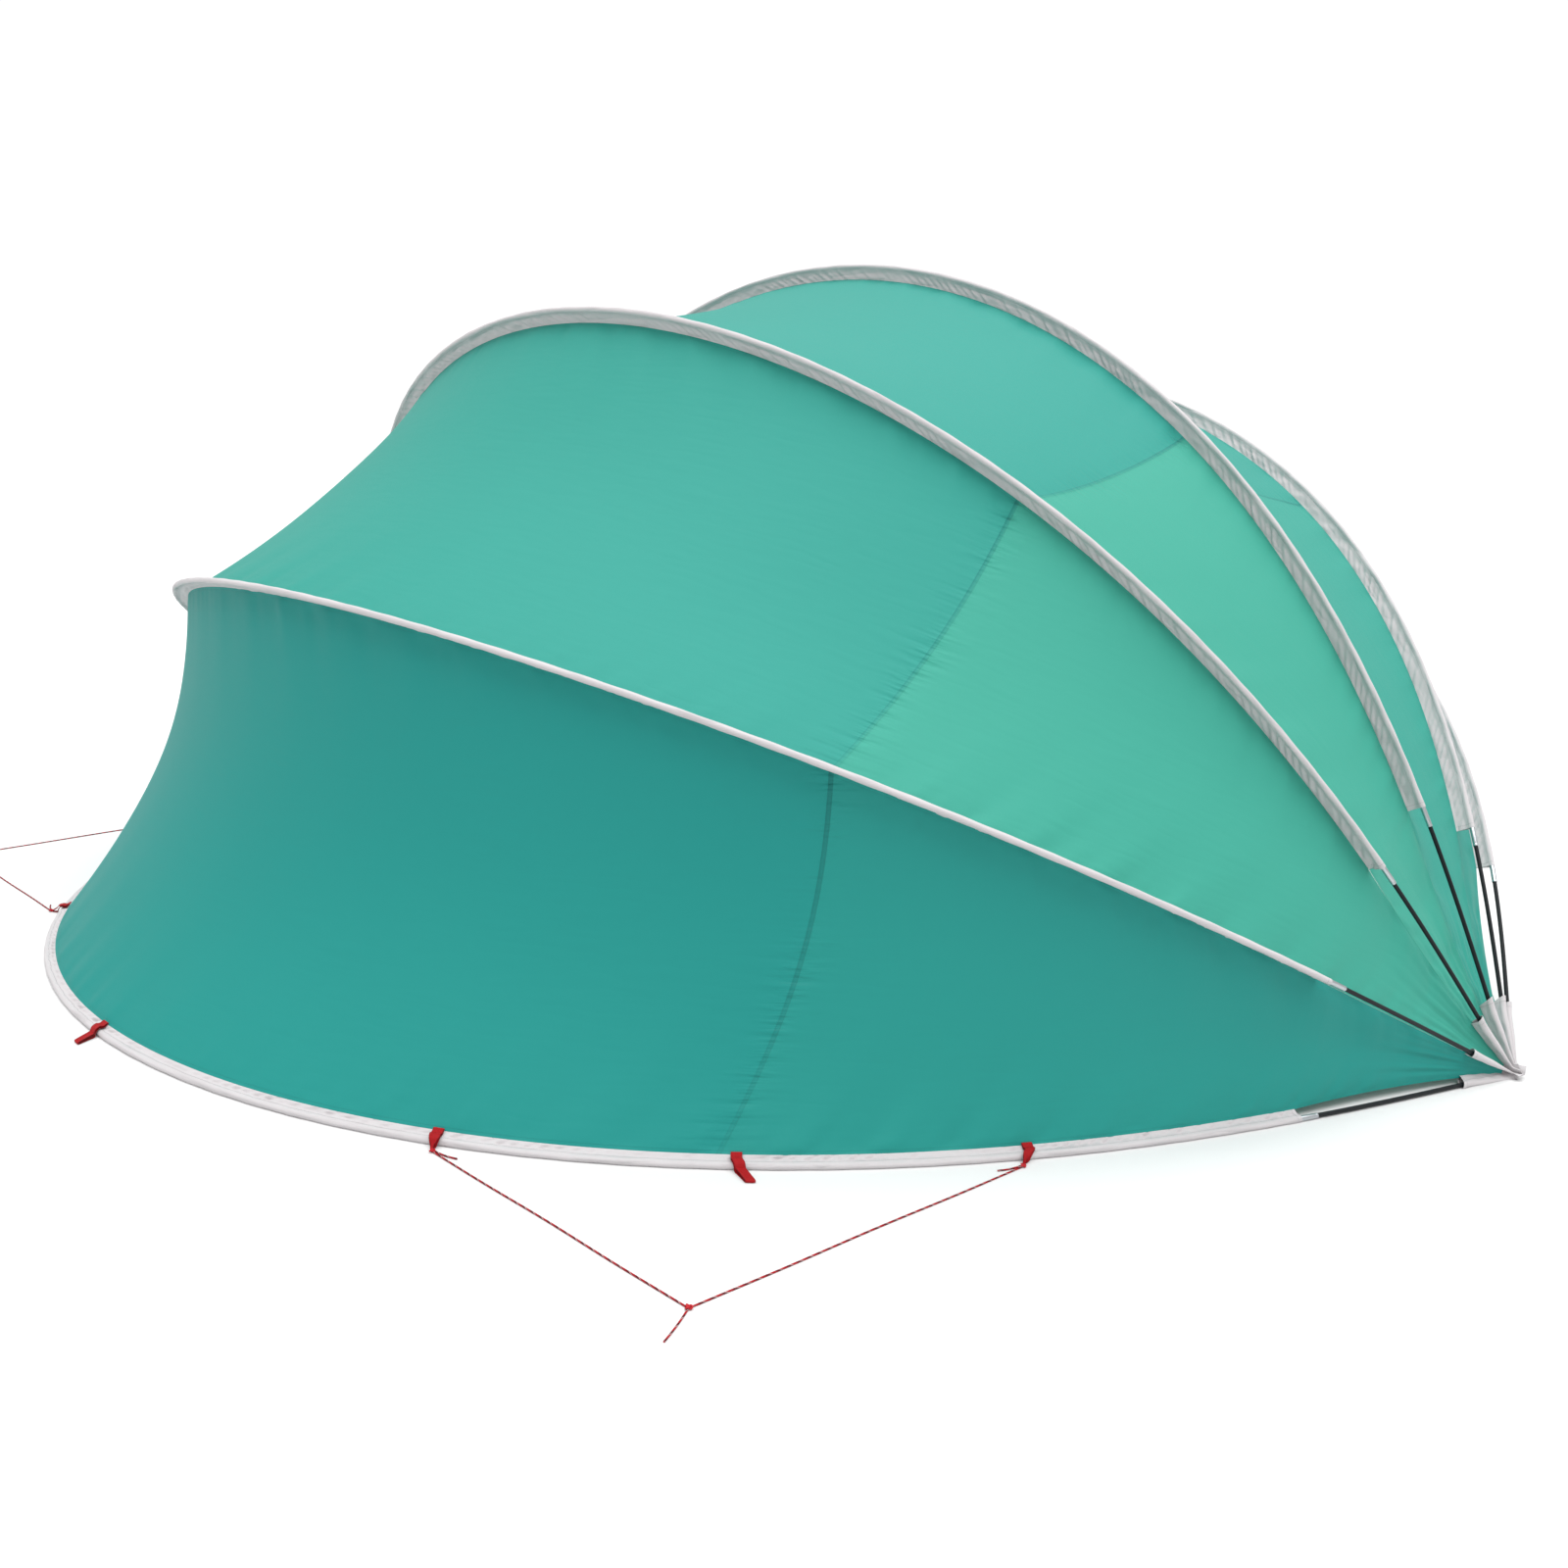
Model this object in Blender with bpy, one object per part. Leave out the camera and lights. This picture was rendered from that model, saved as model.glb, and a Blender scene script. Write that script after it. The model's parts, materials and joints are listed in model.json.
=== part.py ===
"""Fan shelter: six glass-fibre arches on two ground corners, with five cloth panels between them.

The corners lie on the X axis direction, the cloth back is towards +Y and the open front towards -Y.
Arch 0 lies on the ground; arches 1 to 5 turn about the line that joins the two corners.
Metres, Z up, the ground at z = 0.
"""

import math

import bpy
import numpy as np

# The whole shelter.
CORNER_HALF_SPAN = 2.0  # from the middle to each ground corner
CORNER_LINE_Y = -0.5640  # puts the middle of the shelter's depth at y = 0
ARCH_ANGLES = (0.0, 26.0, 55.5, 86.5, 116.5, 131.5)  # degrees up from the ground at the back
ARCH_RISES = (2.160, 1.995, 1.835, 1.740, 1.720, 1.625)
END_SLOPES = (71.0, 76.0, 72.0, 68.0, 71.0, 75.0)  # how steeply each pole leaves the corner line
SEGMENTS = 30  # straight runs along each pole

# Poles and ferrules.
POLE_RADIUS = 0.0045
POLE_START = 0.090  # from the corner to the pole's end, along the pole
FERRULE_RADIUS = 0.0055
FERRULE_BORE = 0.0049
FERRULE_LENGTH = 0.060
FERRULE_HIDDEN = 0.015  # how far the ferrule reaches into the sleeve's mouth

# Sleeves: a channel for the pole on a flat fin that is sewn to the cloth.
SLEEVE_SHARES = (0.100, 0.1075, 0.1025, 0.106, 0.100, 0.0945)  # where each starts along its pole
SLEEVE_RADIUS = 0.0066
CHANNEL_RADIUS = 0.0059
FIN_WIDTH = 0.034
GROUND_FIN_WIDTH = 0.021
FIN_BASE = 0.0105
FIN_BASE_HALF = 0.0008
FIN_EDGE_HALF = 0.0006
GROUND_TILT = 60.0  # the ground sleeve's round part is turned by this angle, which puts a flat side down
GROUND_FIN_TILT = 36.0  # the ground sleeve's fin leans up and in by this angle

# Corner pockets.
POCKET_TIP = 0.024
POCKET_MOUTH = 0.165
POCKET_TIP_RADIUS = 0.0013
POCKET_RADIUS = 0.0058
POCKET_BORE = 0.0050
POCKET_CHANNEL_END = 0.086
HEM_SAG = 0.012  # how far a panel's free hem curves in between the sleeve and the corner

# Cloth panels.
CLOTH = 0.0006
SEAM_GAP = 0.0012
SEAM_HALF = 0.0014
PANEL_START = 0.030
PANEL_SAGS = (0.10, 0.05, 0.035, 0.05, 0.05)  # saddle depths, as shares of the way between arches
PANEL_COLUMNS = 6

# Webbing loops on the ground sleeve.
LOOP_SHARES = (0.196, 0.280, 0.363, 0.500, 0.637, 0.720, 0.804)
WEBBING_WIDTH = 0.020
WEBBING_THICKNESS = 0.0012
LOOP_REACH = 0.050  # a free loop, laid out for a peg
TIED_REACH = 0.024  # a loop that a guy rope is tied to
TIED_LOOPS = (1, 3, 5, 7)

# Guy ropes, lying on the ground.
ROPE_RADIUS = 0.0015
ROPE_HEIGHT = 0.0018
KNOT_X = 1.480
KNOT_Y = 1.930  # from the corner line
KNOT_BEND = 0.010
TAIL = (0.037, 0.080)

GROUND_AXIS = SLEEVE_RADIUS * math.cos(math.radians(30.0))


def clear_scene():
    """Remove every object that Blender starts with."""
    for item in list(bpy.data.objects):
        bpy.data.objects.remove(item, do_unlink=True)


def make_material(name, colour, roughness, metallic):
    """A plain Principled material."""
    material = bpy.data.materials.new(name)
    material.use_nodes = True
    shader = material.node_tree.nodes["Principled BSDF"]
    shader.inputs["Base Color"].default_value = (*colour, 1.0)
    shader.inputs["Roughness"].default_value = roughness
    shader.inputs["Metallic"].default_value = metallic
    return material


def add_solid(name, vertices, faces, material, smooth=False):
    """One closed mesh object whose origin is on the corner line."""
    origin = np.array((0.0, CORNER_LINE_Y, GROUND_AXIS))
    mesh = bpy.data.meshes.new(name)
    mesh.from_pydata([tuple(v - origin) for v in vertices], [], faces)
    mesh.validate()
    mesh.polygons.foreach_set("use_smooth", [smooth] * len(mesh.polygons))
    mesh.materials.append(material)
    item = bpy.data.objects.new(name, mesh)
    item.location = origin
    bpy.context.collection.objects.link(item)
    return item


class Arch:
    """A bent pole: its slope falls as a cosine along its length, in a plane through the corner line."""

    def __init__(self, number):
        angle = math.radians(ARCH_ANGLES[number])
        self.out = np.array((0.0, math.cos(angle), math.sin(angle)))
        self.side = np.array((0.0, -math.sin(angle), math.cos(angle)))
        self.tilt = math.radians(GROUND_TILT) if number == 0 else 0.0
        self.fin_turn = math.radians(GROUND_TILT - GROUND_FIN_TILT) if number == 0 else 0.0
        self.fin = GROUND_FIN_WIDTH if number == 0 else FIN_WIDTH
        self.sag = PANEL_SAGS[min(number, len(PANEL_SAGS) - 1)]
        self.mouth = SLEEVE_SHARES[number]
        fine = np.linspace(0.0, 1.0, 20 * SEGMENTS + 1)
        slope = math.radians(END_SLOPES[number]) * np.cos(math.pi * (fine[1:] + fine[:-1]) / 2.0)
        across = np.concatenate(([0.0], np.cumsum(np.cos(slope))))
        height = np.concatenate(([0.0], np.cumsum(np.sin(slope))))
        across = (across / across[-1] * 2.0 - 1.0) * CORNER_HALF_SPAN
        height = height / height.max() * ARCH_RISES[number]
        length = np.concatenate(([0.0], np.cumsum(np.hypot(np.diff(across), np.diff(height)))))
        self.length = length[-1]
        stations = np.linspace(0.0, self.length, SEGMENTS + 1)
        self.across = np.interp(stations, length, across)
        self.height = np.interp(stations, length, height)
        slopes = np.arctan2(np.gradient(self.height), np.gradient(self.across))
        self.slopes = slopes

    def corner(self):
        """The corner this pole starts from."""
        return np.array((-CORNER_HALF_SPAN, CORNER_LINE_Y, GROUND_AXIS))

    def station(self, index):
        """The pole's centre at a station, with the directions away from and across the fin."""
        centre = self.height[index] * self.out + (self.across[index], CORNER_LINE_Y, GROUND_AXIS)
        slope = self.slopes[index]
        normal = math.cos(slope) * self.out - np.array((math.sin(slope), 0.0, 0.0))
        u = math.cos(self.tilt) * normal - math.sin(self.tilt) * self.side
        v = math.sin(self.tilt) * normal + math.cos(self.tilt) * self.side
        return centre, u, v

    def ring(self, share, outline):
        """The outline's points round the pole at a share of its length."""
        place = min(max(share, 0.0), 1.0) * SEGMENTS
        index = min(int(place), SEGMENTS - 1)
        part = place - index
        rings = []
        for k in (index, index + 1):
            centre, u, v = self.station(k)
            rings.append(centre + np.outer(outline[:, 0], u) + np.outer(outline[:, 1], v))
        return rings[0] * (1.0 - part) + rings[1] * part

    def point(self, share):
        """The pole's centre at a share of its length."""
        return self.ring(share, np.zeros((1, 2)))[0]

    def edge(self, share):
        """Where the panels end: along the sleeve's fin, then in a shallow curve to the corner."""
        seam = turned(((-self.fin - SEAM_GAP, 0.0),), self.fin_turn)
        near = min(share, 1.0 - share)
        if near >= self.mouth - 1e-9:
            return self.ring(share, seam)[0]
        first = share < 0.5
        mouth = self.mouth if first else 1.0 - self.mouth
        end = self.ring(mouth, seam)[0]
        corner = self.corner() * ((1.0, 1.0, 1.0) if first else (-1.0, 1.0, 1.0))
        inward = (end - self.point(mouth)) / (self.fin + SEAM_GAP)
        q = near / self.mouth
        return corner * (1.0 - q) + end * q + inward * HEM_SAG * 4.0 * q * (1.0 - q)


def hexagon(radius):
    """Six points on a circle, one of them away from the fin."""
    turns = np.radians(np.arange(6) * 60.0)
    return np.stack((radius * np.cos(turns), radius * np.sin(turns)), axis=1)


def turned(points, angle):
    """Points of an outline, turned about the pole."""
    c, s = math.cos(angle), math.sin(angle)
    return np.array(points) @ np.array(((c, s), (-s, c)))


def fin_outline(radius, width, base, base_half, edge_half, turn=0.0):
    """A sleeve's outside: five points of the hexagon and the fin's four, which can be turned."""
    round_part = hexagon(radius)[[4, 5, 0, 1, 2]]
    fin_part = ((-base, base_half), (-width, edge_half), (-width, -edge_half), (-base, -base_half))
    return np.concatenate((round_part, turned(fin_part, turn)))


def loft(rings):
    """Side faces between rings that have the same number of points, each running to the next."""
    count = len(rings[0])
    faces = []
    for r in range(len(rings) - 1):
        for k in range(count):
            here, there = r * count + k, r * count + (k + 1) % count
            faces.append((here, there, there + count, here + count))
    return faces


def tube_faces(outer_rings, inner_rings):
    """Faces of a tube open at both ends, with as many inner rings as outer rings."""
    outer_count, inner_count = len(outer_rings[0]), len(inner_rings[0])
    start = outer_count * len(outer_rings)
    faces = loft(outer_rings)
    faces += [tuple(start + k for k in reversed(f)) for f in loft(inner_rings)]
    last_outer = outer_count * (len(outer_rings) - 1)
    last_inner = start + inner_count * (len(inner_rings) - 1)
    return faces, (0, start), (last_outer, last_inner)


def build_pole(number, arch, material):
    """A solid glass-fibre pole from pocket to pocket."""
    first = POLE_START / arch.length
    shares = [first] + [k / SEGMENTS for k in range(1, SEGMENTS)] + [1.0 - first]
    rings = [arch.ring(s, hexagon(POLE_RADIUS)) for s in shares]
    faces = loft(rings)
    last = 6 * (len(rings) - 1)
    faces.append(tuple(reversed(range(6))))
    faces.append(tuple(range(last, last + 6)))
    add_solid(f"pole_{number}", np.concatenate(rings), faces, material, smooth=True)


def join_rims(outer_start, inner_start, pairs, flip):
    """Flat faces between an outer rim and an inner rim; pairs walks both rims once round."""
    faces = []
    for (o0, i0), (o1, i1) in zip(pairs, pairs[1:] + pairs[:1]):
        corners = [outer_start + o0]
        if o1 != o0:
            corners.append(outer_start + o1)
        corners.append(inner_start + i1)
        if i1 != i0:
            corners.append(inner_start + i0)
        faces.append(tuple(reversed(corners)) if flip else tuple(corners))
    return faces


# A walk round the sleeve's outside (nine points) and its channel (six points) together.
SLEEVE_RIM = [(0, 4), (1, 5), (2, 0), (3, 1), (4, 2), (5, 3), (6, 3), (7, 3), (8, 3)]
HEX_RIM = [(k, k) for k in range(6)]


def build_ferrule(name, arch, first, material):
    """A metal tube over the pole where two of its sections meet, most of it outside the sleeve."""
    hidden = FERRULE_HIDDEN / arch.length
    shown = hidden - FERRULE_LENGTH / arch.length
    bends = [k / SEGMENTS - arch.mouth for k in range(SEGMENTS)]
    steps = sorted([shown, 0.0, hidden] + [b for b in bends if shown < b < hidden and abs(b) > 1e-6])
    shares = [arch.mouth + k for k in steps] if first else [1.0 - arch.mouth - k for k in reversed(steps)]
    rings_out = [arch.ring(s, hexagon(FERRULE_RADIUS)) for s in shares]
    rings_in = [arch.ring(s, hexagon(FERRULE_BORE)) for s in shares]
    faces, start, end = tube_faces(rings_out, rings_in)
    faces += join_rims(*start, HEX_RIM, flip=True)
    faces += join_rims(*end, HEX_RIM, flip=False)
    add_solid(name, np.concatenate(rings_out + rings_in), faces, material, smooth=True)


def build_sleeve(number, arch, material):
    """The pole's cloth sleeve, open at both ends."""
    bends = [k / SEGMENTS for k in range(SEGMENTS + 1)]
    inside = [b for b in bends if arch.mouth + 1e-6 < b < 1.0 - arch.mouth - 1e-6]
    shares = [arch.mouth] + inside + [1.0 - arch.mouth]
    sizes = (arch.fin, FIN_BASE, FIN_BASE_HALF, FIN_EDGE_HALF)
    outside = fin_outline(SLEEVE_RADIUS, *sizes, arch.fin_turn)
    outer = [arch.ring(s, outside) for s in shares]
    inner = [arch.ring(s, hexagon(CHANNEL_RADIUS)) for s in shares]
    faces, begin, end = tube_faces(outer, inner)
    faces += join_rims(*begin, SLEEVE_RIM, flip=True)
    faces += join_rims(*end, SLEEVE_RIM, flip=False)
    add_solid(f"sleeve_{number}", np.concatenate(outer + inner), faces, material)


def pocket_ring(arch, share, radius):
    """A pocket's outside: the round part on the pole and a fin that reaches the panels' hem."""
    outline = fin_outline(radius, FIN_WIDTH, FIN_BASE, FIN_BASE_HALF, FIN_EDGE_HALF)
    ring = arch.ring(share, outline)
    centre = arch.point(share)
    reach = arch.edge(share) - centre
    width = np.linalg.norm(reach)
    inward = reach / width
    flank = arch.ring(share, np.array(((0.0, 1.0),)))[0] - centre
    flank = flank - inward * (flank @ inward)
    flank = flank / np.linalg.norm(flank)
    end = width - SEAM_GAP
    base = min(radius * 1.6, 0.7 * end)
    ring[5] = centre + inward * base + flank * FIN_BASE_HALF
    ring[6] = centre + inward * end + flank * FIN_EDGE_HALF
    ring[7] = centre + inward * end - flank * FIN_EDGE_HALF
    ring[8] = centre + inward * base - flank * FIN_BASE_HALF
    return ring


def build_pocket(name, arch, mirrored, material):
    """A tapered cloth pocket, closed at the corner, that holds the pole's end."""
    plan = ((POCKET_TIP, POCKET_TIP_RADIUS), (0.055, 0.0036), (POCKET_CHANNEL_END, POCKET_RADIUS))
    plan += ((0.125, POCKET_RADIUS), (POCKET_MOUTH, POCKET_RADIUS))
    outer = [pocket_ring(arch, s / arch.length, r) for s, r in plan]
    bore = (POCKET_CHANNEL_END, 0.125, POCKET_MOUTH)
    inner = [arch.ring(s / arch.length, hexagon(POCKET_BORE)) for s in bore]
    start = 9 * len(outer)
    faces = loft(outer)
    faces += [tuple(start + k for k in reversed(f)) for f in loft(inner)]
    faces.append(tuple(reversed(range(9))))
    faces.append(tuple(range(start, start + 6)))
    faces += join_rims(9 * (len(outer) - 1), start + 6 * (len(inner) - 1), SLEEVE_RIM, flip=False)
    vertices = np.concatenate(outer + inner)
    if mirrored:
        vertices = vertices * (-1.0, 1.0, 1.0)
        faces = [tuple(reversed(f)) for f in faces]
    add_solid(name, vertices, faces, material)


def panel_surface(lower, upper, rows):
    """Straight threads between two arches, drawn in towards the corner line in the middle."""
    grid = np.zeros((len(rows), PANEL_COLUMNS + 1, 3))
    below = SEAM_HALF if lower.tilt == 0.0 else 0.0
    for r, share in enumerate(rows):
        a = lower.edge(share) + lower.side * below
        b = upper.edge(share) - upper.side * SEAM_HALF
        for c in range(PANEL_COLUMNS + 1):
            t = c / PANEL_COLUMNS
            inward = -(lower.out * (1.0 - t) + upper.out * t)
            inward = inward / np.linalg.norm(inward)
            depth = lower.sag * np.linalg.norm(b - a) * 4.0 * t * (1.0 - t)
            grid[r, c] = a * (1.0 - t) + b * t + inward * depth
    return grid


def build_panel(name, lower, upper, material):
    """One width of the canopy, a thin saddle between two arches."""
    near = [PANEL_START / lower.length, POCKET_MOUTH / lower.length]
    near += [k / SEGMENTS for k in range(1, SEGMENTS // 2)]
    near.sort()
    rows = near + [0.5] + [1.0 - s for s in reversed(near)]
    grid = panel_surface(lower, upper, rows)
    along, across = np.gradient(grid, axis=0), np.gradient(grid, axis=1)
    normal = np.cross(along, across)
    normal = normal / np.linalg.norm(normal, axis=2, keepdims=True)
    count, width = len(rows), PANEL_COLUMNS + 1
    outside = (grid + normal * CLOTH / 2.0).reshape(-1, 3)
    inside = (grid - normal * CLOTH / 2.0).reshape(-1, 3)
    total = count * width
    faces = []
    for r in range(count - 1):
        for c in range(width - 1):
            a, b = r * width + c, (r + 1) * width + c
            faces.append((a, b, b + 1, a + 1))
            faces.append((total + a, total + a + 1, total + b + 1, total + b))
    rim = [c for c in range(width)]
    rim += [r * width + width - 1 for r in range(1, count)]
    rim += [(count - 1) * width + c for c in range(width - 2, -1, -1)]
    rim += [r * width for r in range(count - 2, 0, -1)]
    for here, there in zip(rim, rim[1:] + rim[:1]):
        faces.append((here, there, total + there, total + here))
    add_solid(name, np.concatenate((outside, inside)), faces, material, smooth=True)


def build_loop(name, arch, share, reach, material):
    """A folded strip of webbing, from the fin's top over the sleeve and out along the ground."""
    down = -GROUND_AXIS + WEBBING_THICKNESS / 2.0 + 0.0002
    half_way = (0.0130 + reach) / 2.0
    middle = np.array((
        (-0.0166, 0.0154), (-0.0078, 0.0096), (0.0000, 0.0104), (0.0068, 0.0080), (0.0104, 0.0020),
        (0.0130, down), (half_way, down), (reach - 0.002, down), (reach, down + 0.0020),
        (reach - 0.002, down + 0.0040), (half_way, down + 0.0060), (0.0160, down + 0.0074),
        (0.0132, 0.0046), (0.0092, 0.0106), (0.0000, 0.0134), (-0.0075, 0.0123), (-0.0154, 0.0168),
    ))
    step = np.roll(middle, -1, axis=0) - np.roll(middle, 1, axis=0)
    normal = np.stack((step[:, 1], -step[:, 0]), axis=1)
    normal = normal / np.linalg.norm(normal, axis=1, keepdims=True) * WEBBING_THICKNESS / 2.0
    index = min(int(share * SEGMENTS), SEGMENTS - 1)
    along = arch.station(index + 1)[0] - arch.station(index)[0]
    along = along / np.linalg.norm(along)
    away = np.cross(along, (0.0, 0.0, 1.0))
    away = -away if away @ arch.out < 0.0 else away
    centre = arch.point(share)
    rings = []
    for shift in (-WEBBING_WIDTH / 2.0, WEBBING_WIDTH / 2.0):
        for outline in (middle + normal, middle - normal):
            flat = np.outer(outline[:, 0], away) + np.outer(outline[:, 1], (0.0, 0.0, 1.0))
            rings.append(centre + along * shift + flat)
    count = len(middle)
    faces = []
    for k in range(count):
        n = (k + 1) % count
        out0, in0, out1, in1 = k, count + k, 2 * count + k, 3 * count + k
        out0n, in0n, out1n, in1n = n, count + n, 2 * count + n, 3 * count + n
        faces += [(out0, out0n, out1n, out1), (in0, in1, in1n, in0n)]
        faces += [(out0, in0, in0n, out0n), (out1, out1n, in1n, in1)]
    if np.cross(away, (0.0, 0.0, 1.0)) @ along < 0.0:
        faces = [tuple(reversed(f)) for f in faces]
    add_solid(name, np.concatenate(rings), faces, material)
    return centre + away * (reach + 0.0030)


def build_rope(name, points, material):
    """A round cord along a chain of points."""
    curve = bpy.data.curves.new(name, "CURVE")
    curve.dimensions = "3D"
    curve.bevel_depth = ROPE_RADIUS
    curve.bevel_resolution = 2
    curve.use_fill_caps = True
    spline = curve.splines.new("POLY")
    spline.points.add(len(points) - 1)
    for item, place in zip(spline.points, points):
        item.co = (*place, 1.0)
    curve.materials.append(material)
    item = bpy.data.objects.new(name, curve)
    bpy.context.collection.objects.link(item)


def bent_path(start, knot, end):
    """Straight runs from start to end by way of the knot, with a round bend there."""
    to_start = (start - knot) / np.linalg.norm(start - knot)
    to_end = (end - knot) / np.linalg.norm(end - knot)
    half = math.acos(float(np.clip(to_start @ to_end, -1.0, 1.0))) / 2.0
    middle = (to_start + to_end) / np.linalg.norm(to_start + to_end)
    centre = knot + middle * KNOT_BEND / math.sin(half)
    cut = KNOT_BEND / math.tan(half)
    first, last = knot + to_start * cut, knot + to_end * cut
    points = [start + (first - start) * k / 12.0 for k in range(12)]
    for k in range(7):
        blend = first * (1.0 - k / 6.0) + last * (k / 6.0) - centre
        points.append(centre + blend / np.linalg.norm(blend) * KNOT_BEND)
    points += [last + (end - last) * k / 12.0 for k in range(1, 13)]
    return points, centre - middle * (KNOT_BEND + 2.0 * ROPE_RADIUS + 0.0003)


def build_guy_rope(side, tips, material):
    """A rope from one loop to the knot and back to another loop, and the free tail at the knot."""
    sign = -1.0 if side == "left" else 1.0
    knot = np.array((sign * KNOT_X, CORNER_LINE_Y + KNOT_Y, ROPE_HEIGHT))
    start, end = [np.array((p[0], p[1], ROPE_HEIGHT)) for p in tips]
    points, tail_start = bent_path(start, knot, end)
    build_rope(f"guy_rope_{side}", points, material)
    tail = np.array((sign * TAIL[0], TAIL[1], 0.0))
    build_rope(f"guy_tail_{side}", [tail_start + tail * k / 8.0 for k in range(9)], material)


def build_shelter():
    """Every piece, arch by arch."""
    clear_scene()
    black = make_material("glass_fibre", (0.018, 0.022, 0.026), 0.35, 0.0)
    silver = make_material("ferrule_metal", (0.62, 0.64, 0.66), 0.30, 1.0)
    grey = make_material("sleeve_cloth", (0.62, 0.62, 0.63), 0.80, 0.0)
    green = make_material("canopy_cloth", (0.045, 0.46, 0.38), 0.70, 0.0)
    red = make_material("red_webbing", (0.58, 0.010, 0.016), 0.70, 0.0)
    rope = make_material("guy_cord", (0.55, 0.05, 0.06), 0.75, 0.0)
    arches = [Arch(number) for number in range(len(ARCH_ANGLES))]
    for number, arch in enumerate(arches):
        build_pole(number, arch, black)
        build_sleeve(number, arch, grey)
        build_ferrule(f"ferrule_{number}_left", arch, True, silver)
        build_ferrule(f"ferrule_{number}_right", arch, False, silver)
        build_pocket(f"pocket_{number}_left", arch, False, grey)
        build_pocket(f"pocket_{number}_right", arch, True, grey)
    for number in range(len(arches) - 1):
        build_panel(f"panel_{number}_{number + 1}", arches[number], arches[number + 1], green)
    tips = []
    for k, share in enumerate(LOOP_SHARES):
        reach = TIED_REACH if k + 1 in TIED_LOOPS else LOOP_REACH
        tips.append(build_loop(f"peg_loop_{k + 1}", arches[0], share, reach, red))
    build_guy_rope("left", (tips[2], tips[0]), rope)
    build_guy_rope("right", (tips[4], tips[6]), rope)


build_shelter()
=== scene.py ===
"""Fan shelter: poles, ferrules, sleeves, pockets, canopy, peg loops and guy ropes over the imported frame.

Metres, Z up. The two ground corners lie along X, the cloth back is towards +Y and the open front towards -Y.
"""

import json
import math

import bpy
import numpy as np
from mathutils import Matrix


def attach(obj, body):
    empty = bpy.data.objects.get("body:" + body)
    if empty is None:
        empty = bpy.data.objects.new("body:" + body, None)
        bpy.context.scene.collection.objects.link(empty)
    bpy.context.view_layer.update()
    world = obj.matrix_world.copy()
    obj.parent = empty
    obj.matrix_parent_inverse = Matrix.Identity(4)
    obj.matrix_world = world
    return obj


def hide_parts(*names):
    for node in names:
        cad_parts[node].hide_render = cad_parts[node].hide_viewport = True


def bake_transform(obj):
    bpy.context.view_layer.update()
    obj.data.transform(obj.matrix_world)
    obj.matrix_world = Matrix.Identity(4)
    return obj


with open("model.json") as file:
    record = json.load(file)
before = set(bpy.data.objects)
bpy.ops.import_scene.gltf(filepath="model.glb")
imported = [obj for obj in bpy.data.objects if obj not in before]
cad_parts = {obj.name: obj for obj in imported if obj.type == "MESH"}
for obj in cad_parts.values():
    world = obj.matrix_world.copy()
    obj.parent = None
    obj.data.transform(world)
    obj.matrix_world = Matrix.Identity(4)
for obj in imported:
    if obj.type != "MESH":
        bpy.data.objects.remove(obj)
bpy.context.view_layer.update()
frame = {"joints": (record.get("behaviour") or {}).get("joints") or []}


# ---- Camera ----
# It stands behind the left corner at chest height, looks slightly down on the canopy's back,
# and is rolled a little to the right.
EYE = np.array((-2.790, 2.6535, 1.1625))
HEADING, LOOK_DOWN, ROLL = -0.82605, 0.20990, 0.06054

forward = np.array((
    math.cos(HEADING) * math.cos(LOOK_DOWN), math.sin(HEADING) * math.cos(LOOK_DOWN), -math.sin(LOOK_DOWN),
))
level = np.array((math.sin(HEADING), -math.cos(HEADING), 0.0))
upright = np.cross(level, forward)
right = math.cos(ROLL) * level + math.sin(ROLL) * upright
above = math.cos(ROLL) * upright - math.sin(ROLL) * level


def new_object(name, data):
    """An object in the scene, at the origin."""
    made = bpy.data.objects.new(name, data)
    bpy.context.scene.collection.objects.link(made)
    return made


camera = new_object("camera", bpy.data.cameras.new("camera"))
camera.matrix_world = Matrix(np.column_stack((right, above, -forward, EYE)).tolist()).to_4x4()
camera.data.sensor_width = 36.0
camera.data.lens = 32.84
camera.data.clip_end = 300.0
bpy.context.scene.camera = camera


# ---- Poles ----
# Six arches of pultruded glass-fibre rod, 9 mm thick and nearly black, each sprung between the two
# corners. The bottom one lies on the ground and the others fan up round the line between the corners.
_, CORNER_Y, CORNER_Z = frame["joints"][0]["pos_m"]
CORNER_X = 2.0
FAN_ANGLES = np.radians((0.0, 26.0, 55.5, 86.5, 116.5, 131.5))
ARCH_RISES = (2.160, 1.995, 1.835, 1.740, 1.720, 1.625)
LEAVING_SLOPES = np.radians((71.0, 76.0, 72.0, 68.0, 71.0, 75.0))
ARCH_STEPS = 1200
POLE_RADIUS = 0.0045
POLE_FROM_CORNER = 0.090
POLE_ROWS, POLE_SIDES = 420, 14
BODIES = ("ground_arch", "arch_1", "arch_2", "arch_3", "arch_4", "arch_5")


def spring_arch(rise, leaving):
    """A pole in its own plane. Its slope is the leaving slope times the cosine of pi times the share of
    its length; steps along that slope are added up, then scaled to the span and the rise."""
    share = np.linspace(0.0, 1.0, ARCH_STEPS + 1)
    slope = leaving * np.cos(math.pi * (share[1:] + share[:-1]) / 2.0)
    across = np.concatenate(([0.0], np.cumsum(np.cos(slope))))
    height = np.concatenate(([0.0], np.cumsum(np.sin(slope))))
    across = (across / across[-1] * 2.0 - 1.0) * CORNER_X
    height = height / height.max() * rise
    length = np.concatenate(([0.0], np.cumsum(np.hypot(np.diff(across), np.diff(height)))))
    slope = np.arctan2(np.gradient(height), np.gradient(across))
    share = length / length[-1]
    return {"share": share, "across": across, "height": height, "slope": slope, "length": length[-1]}


ARCHES = [spring_arch(rise, slope) for rise, slope in zip(ARCH_RISES, LEAVING_SLOPES)]


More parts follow.
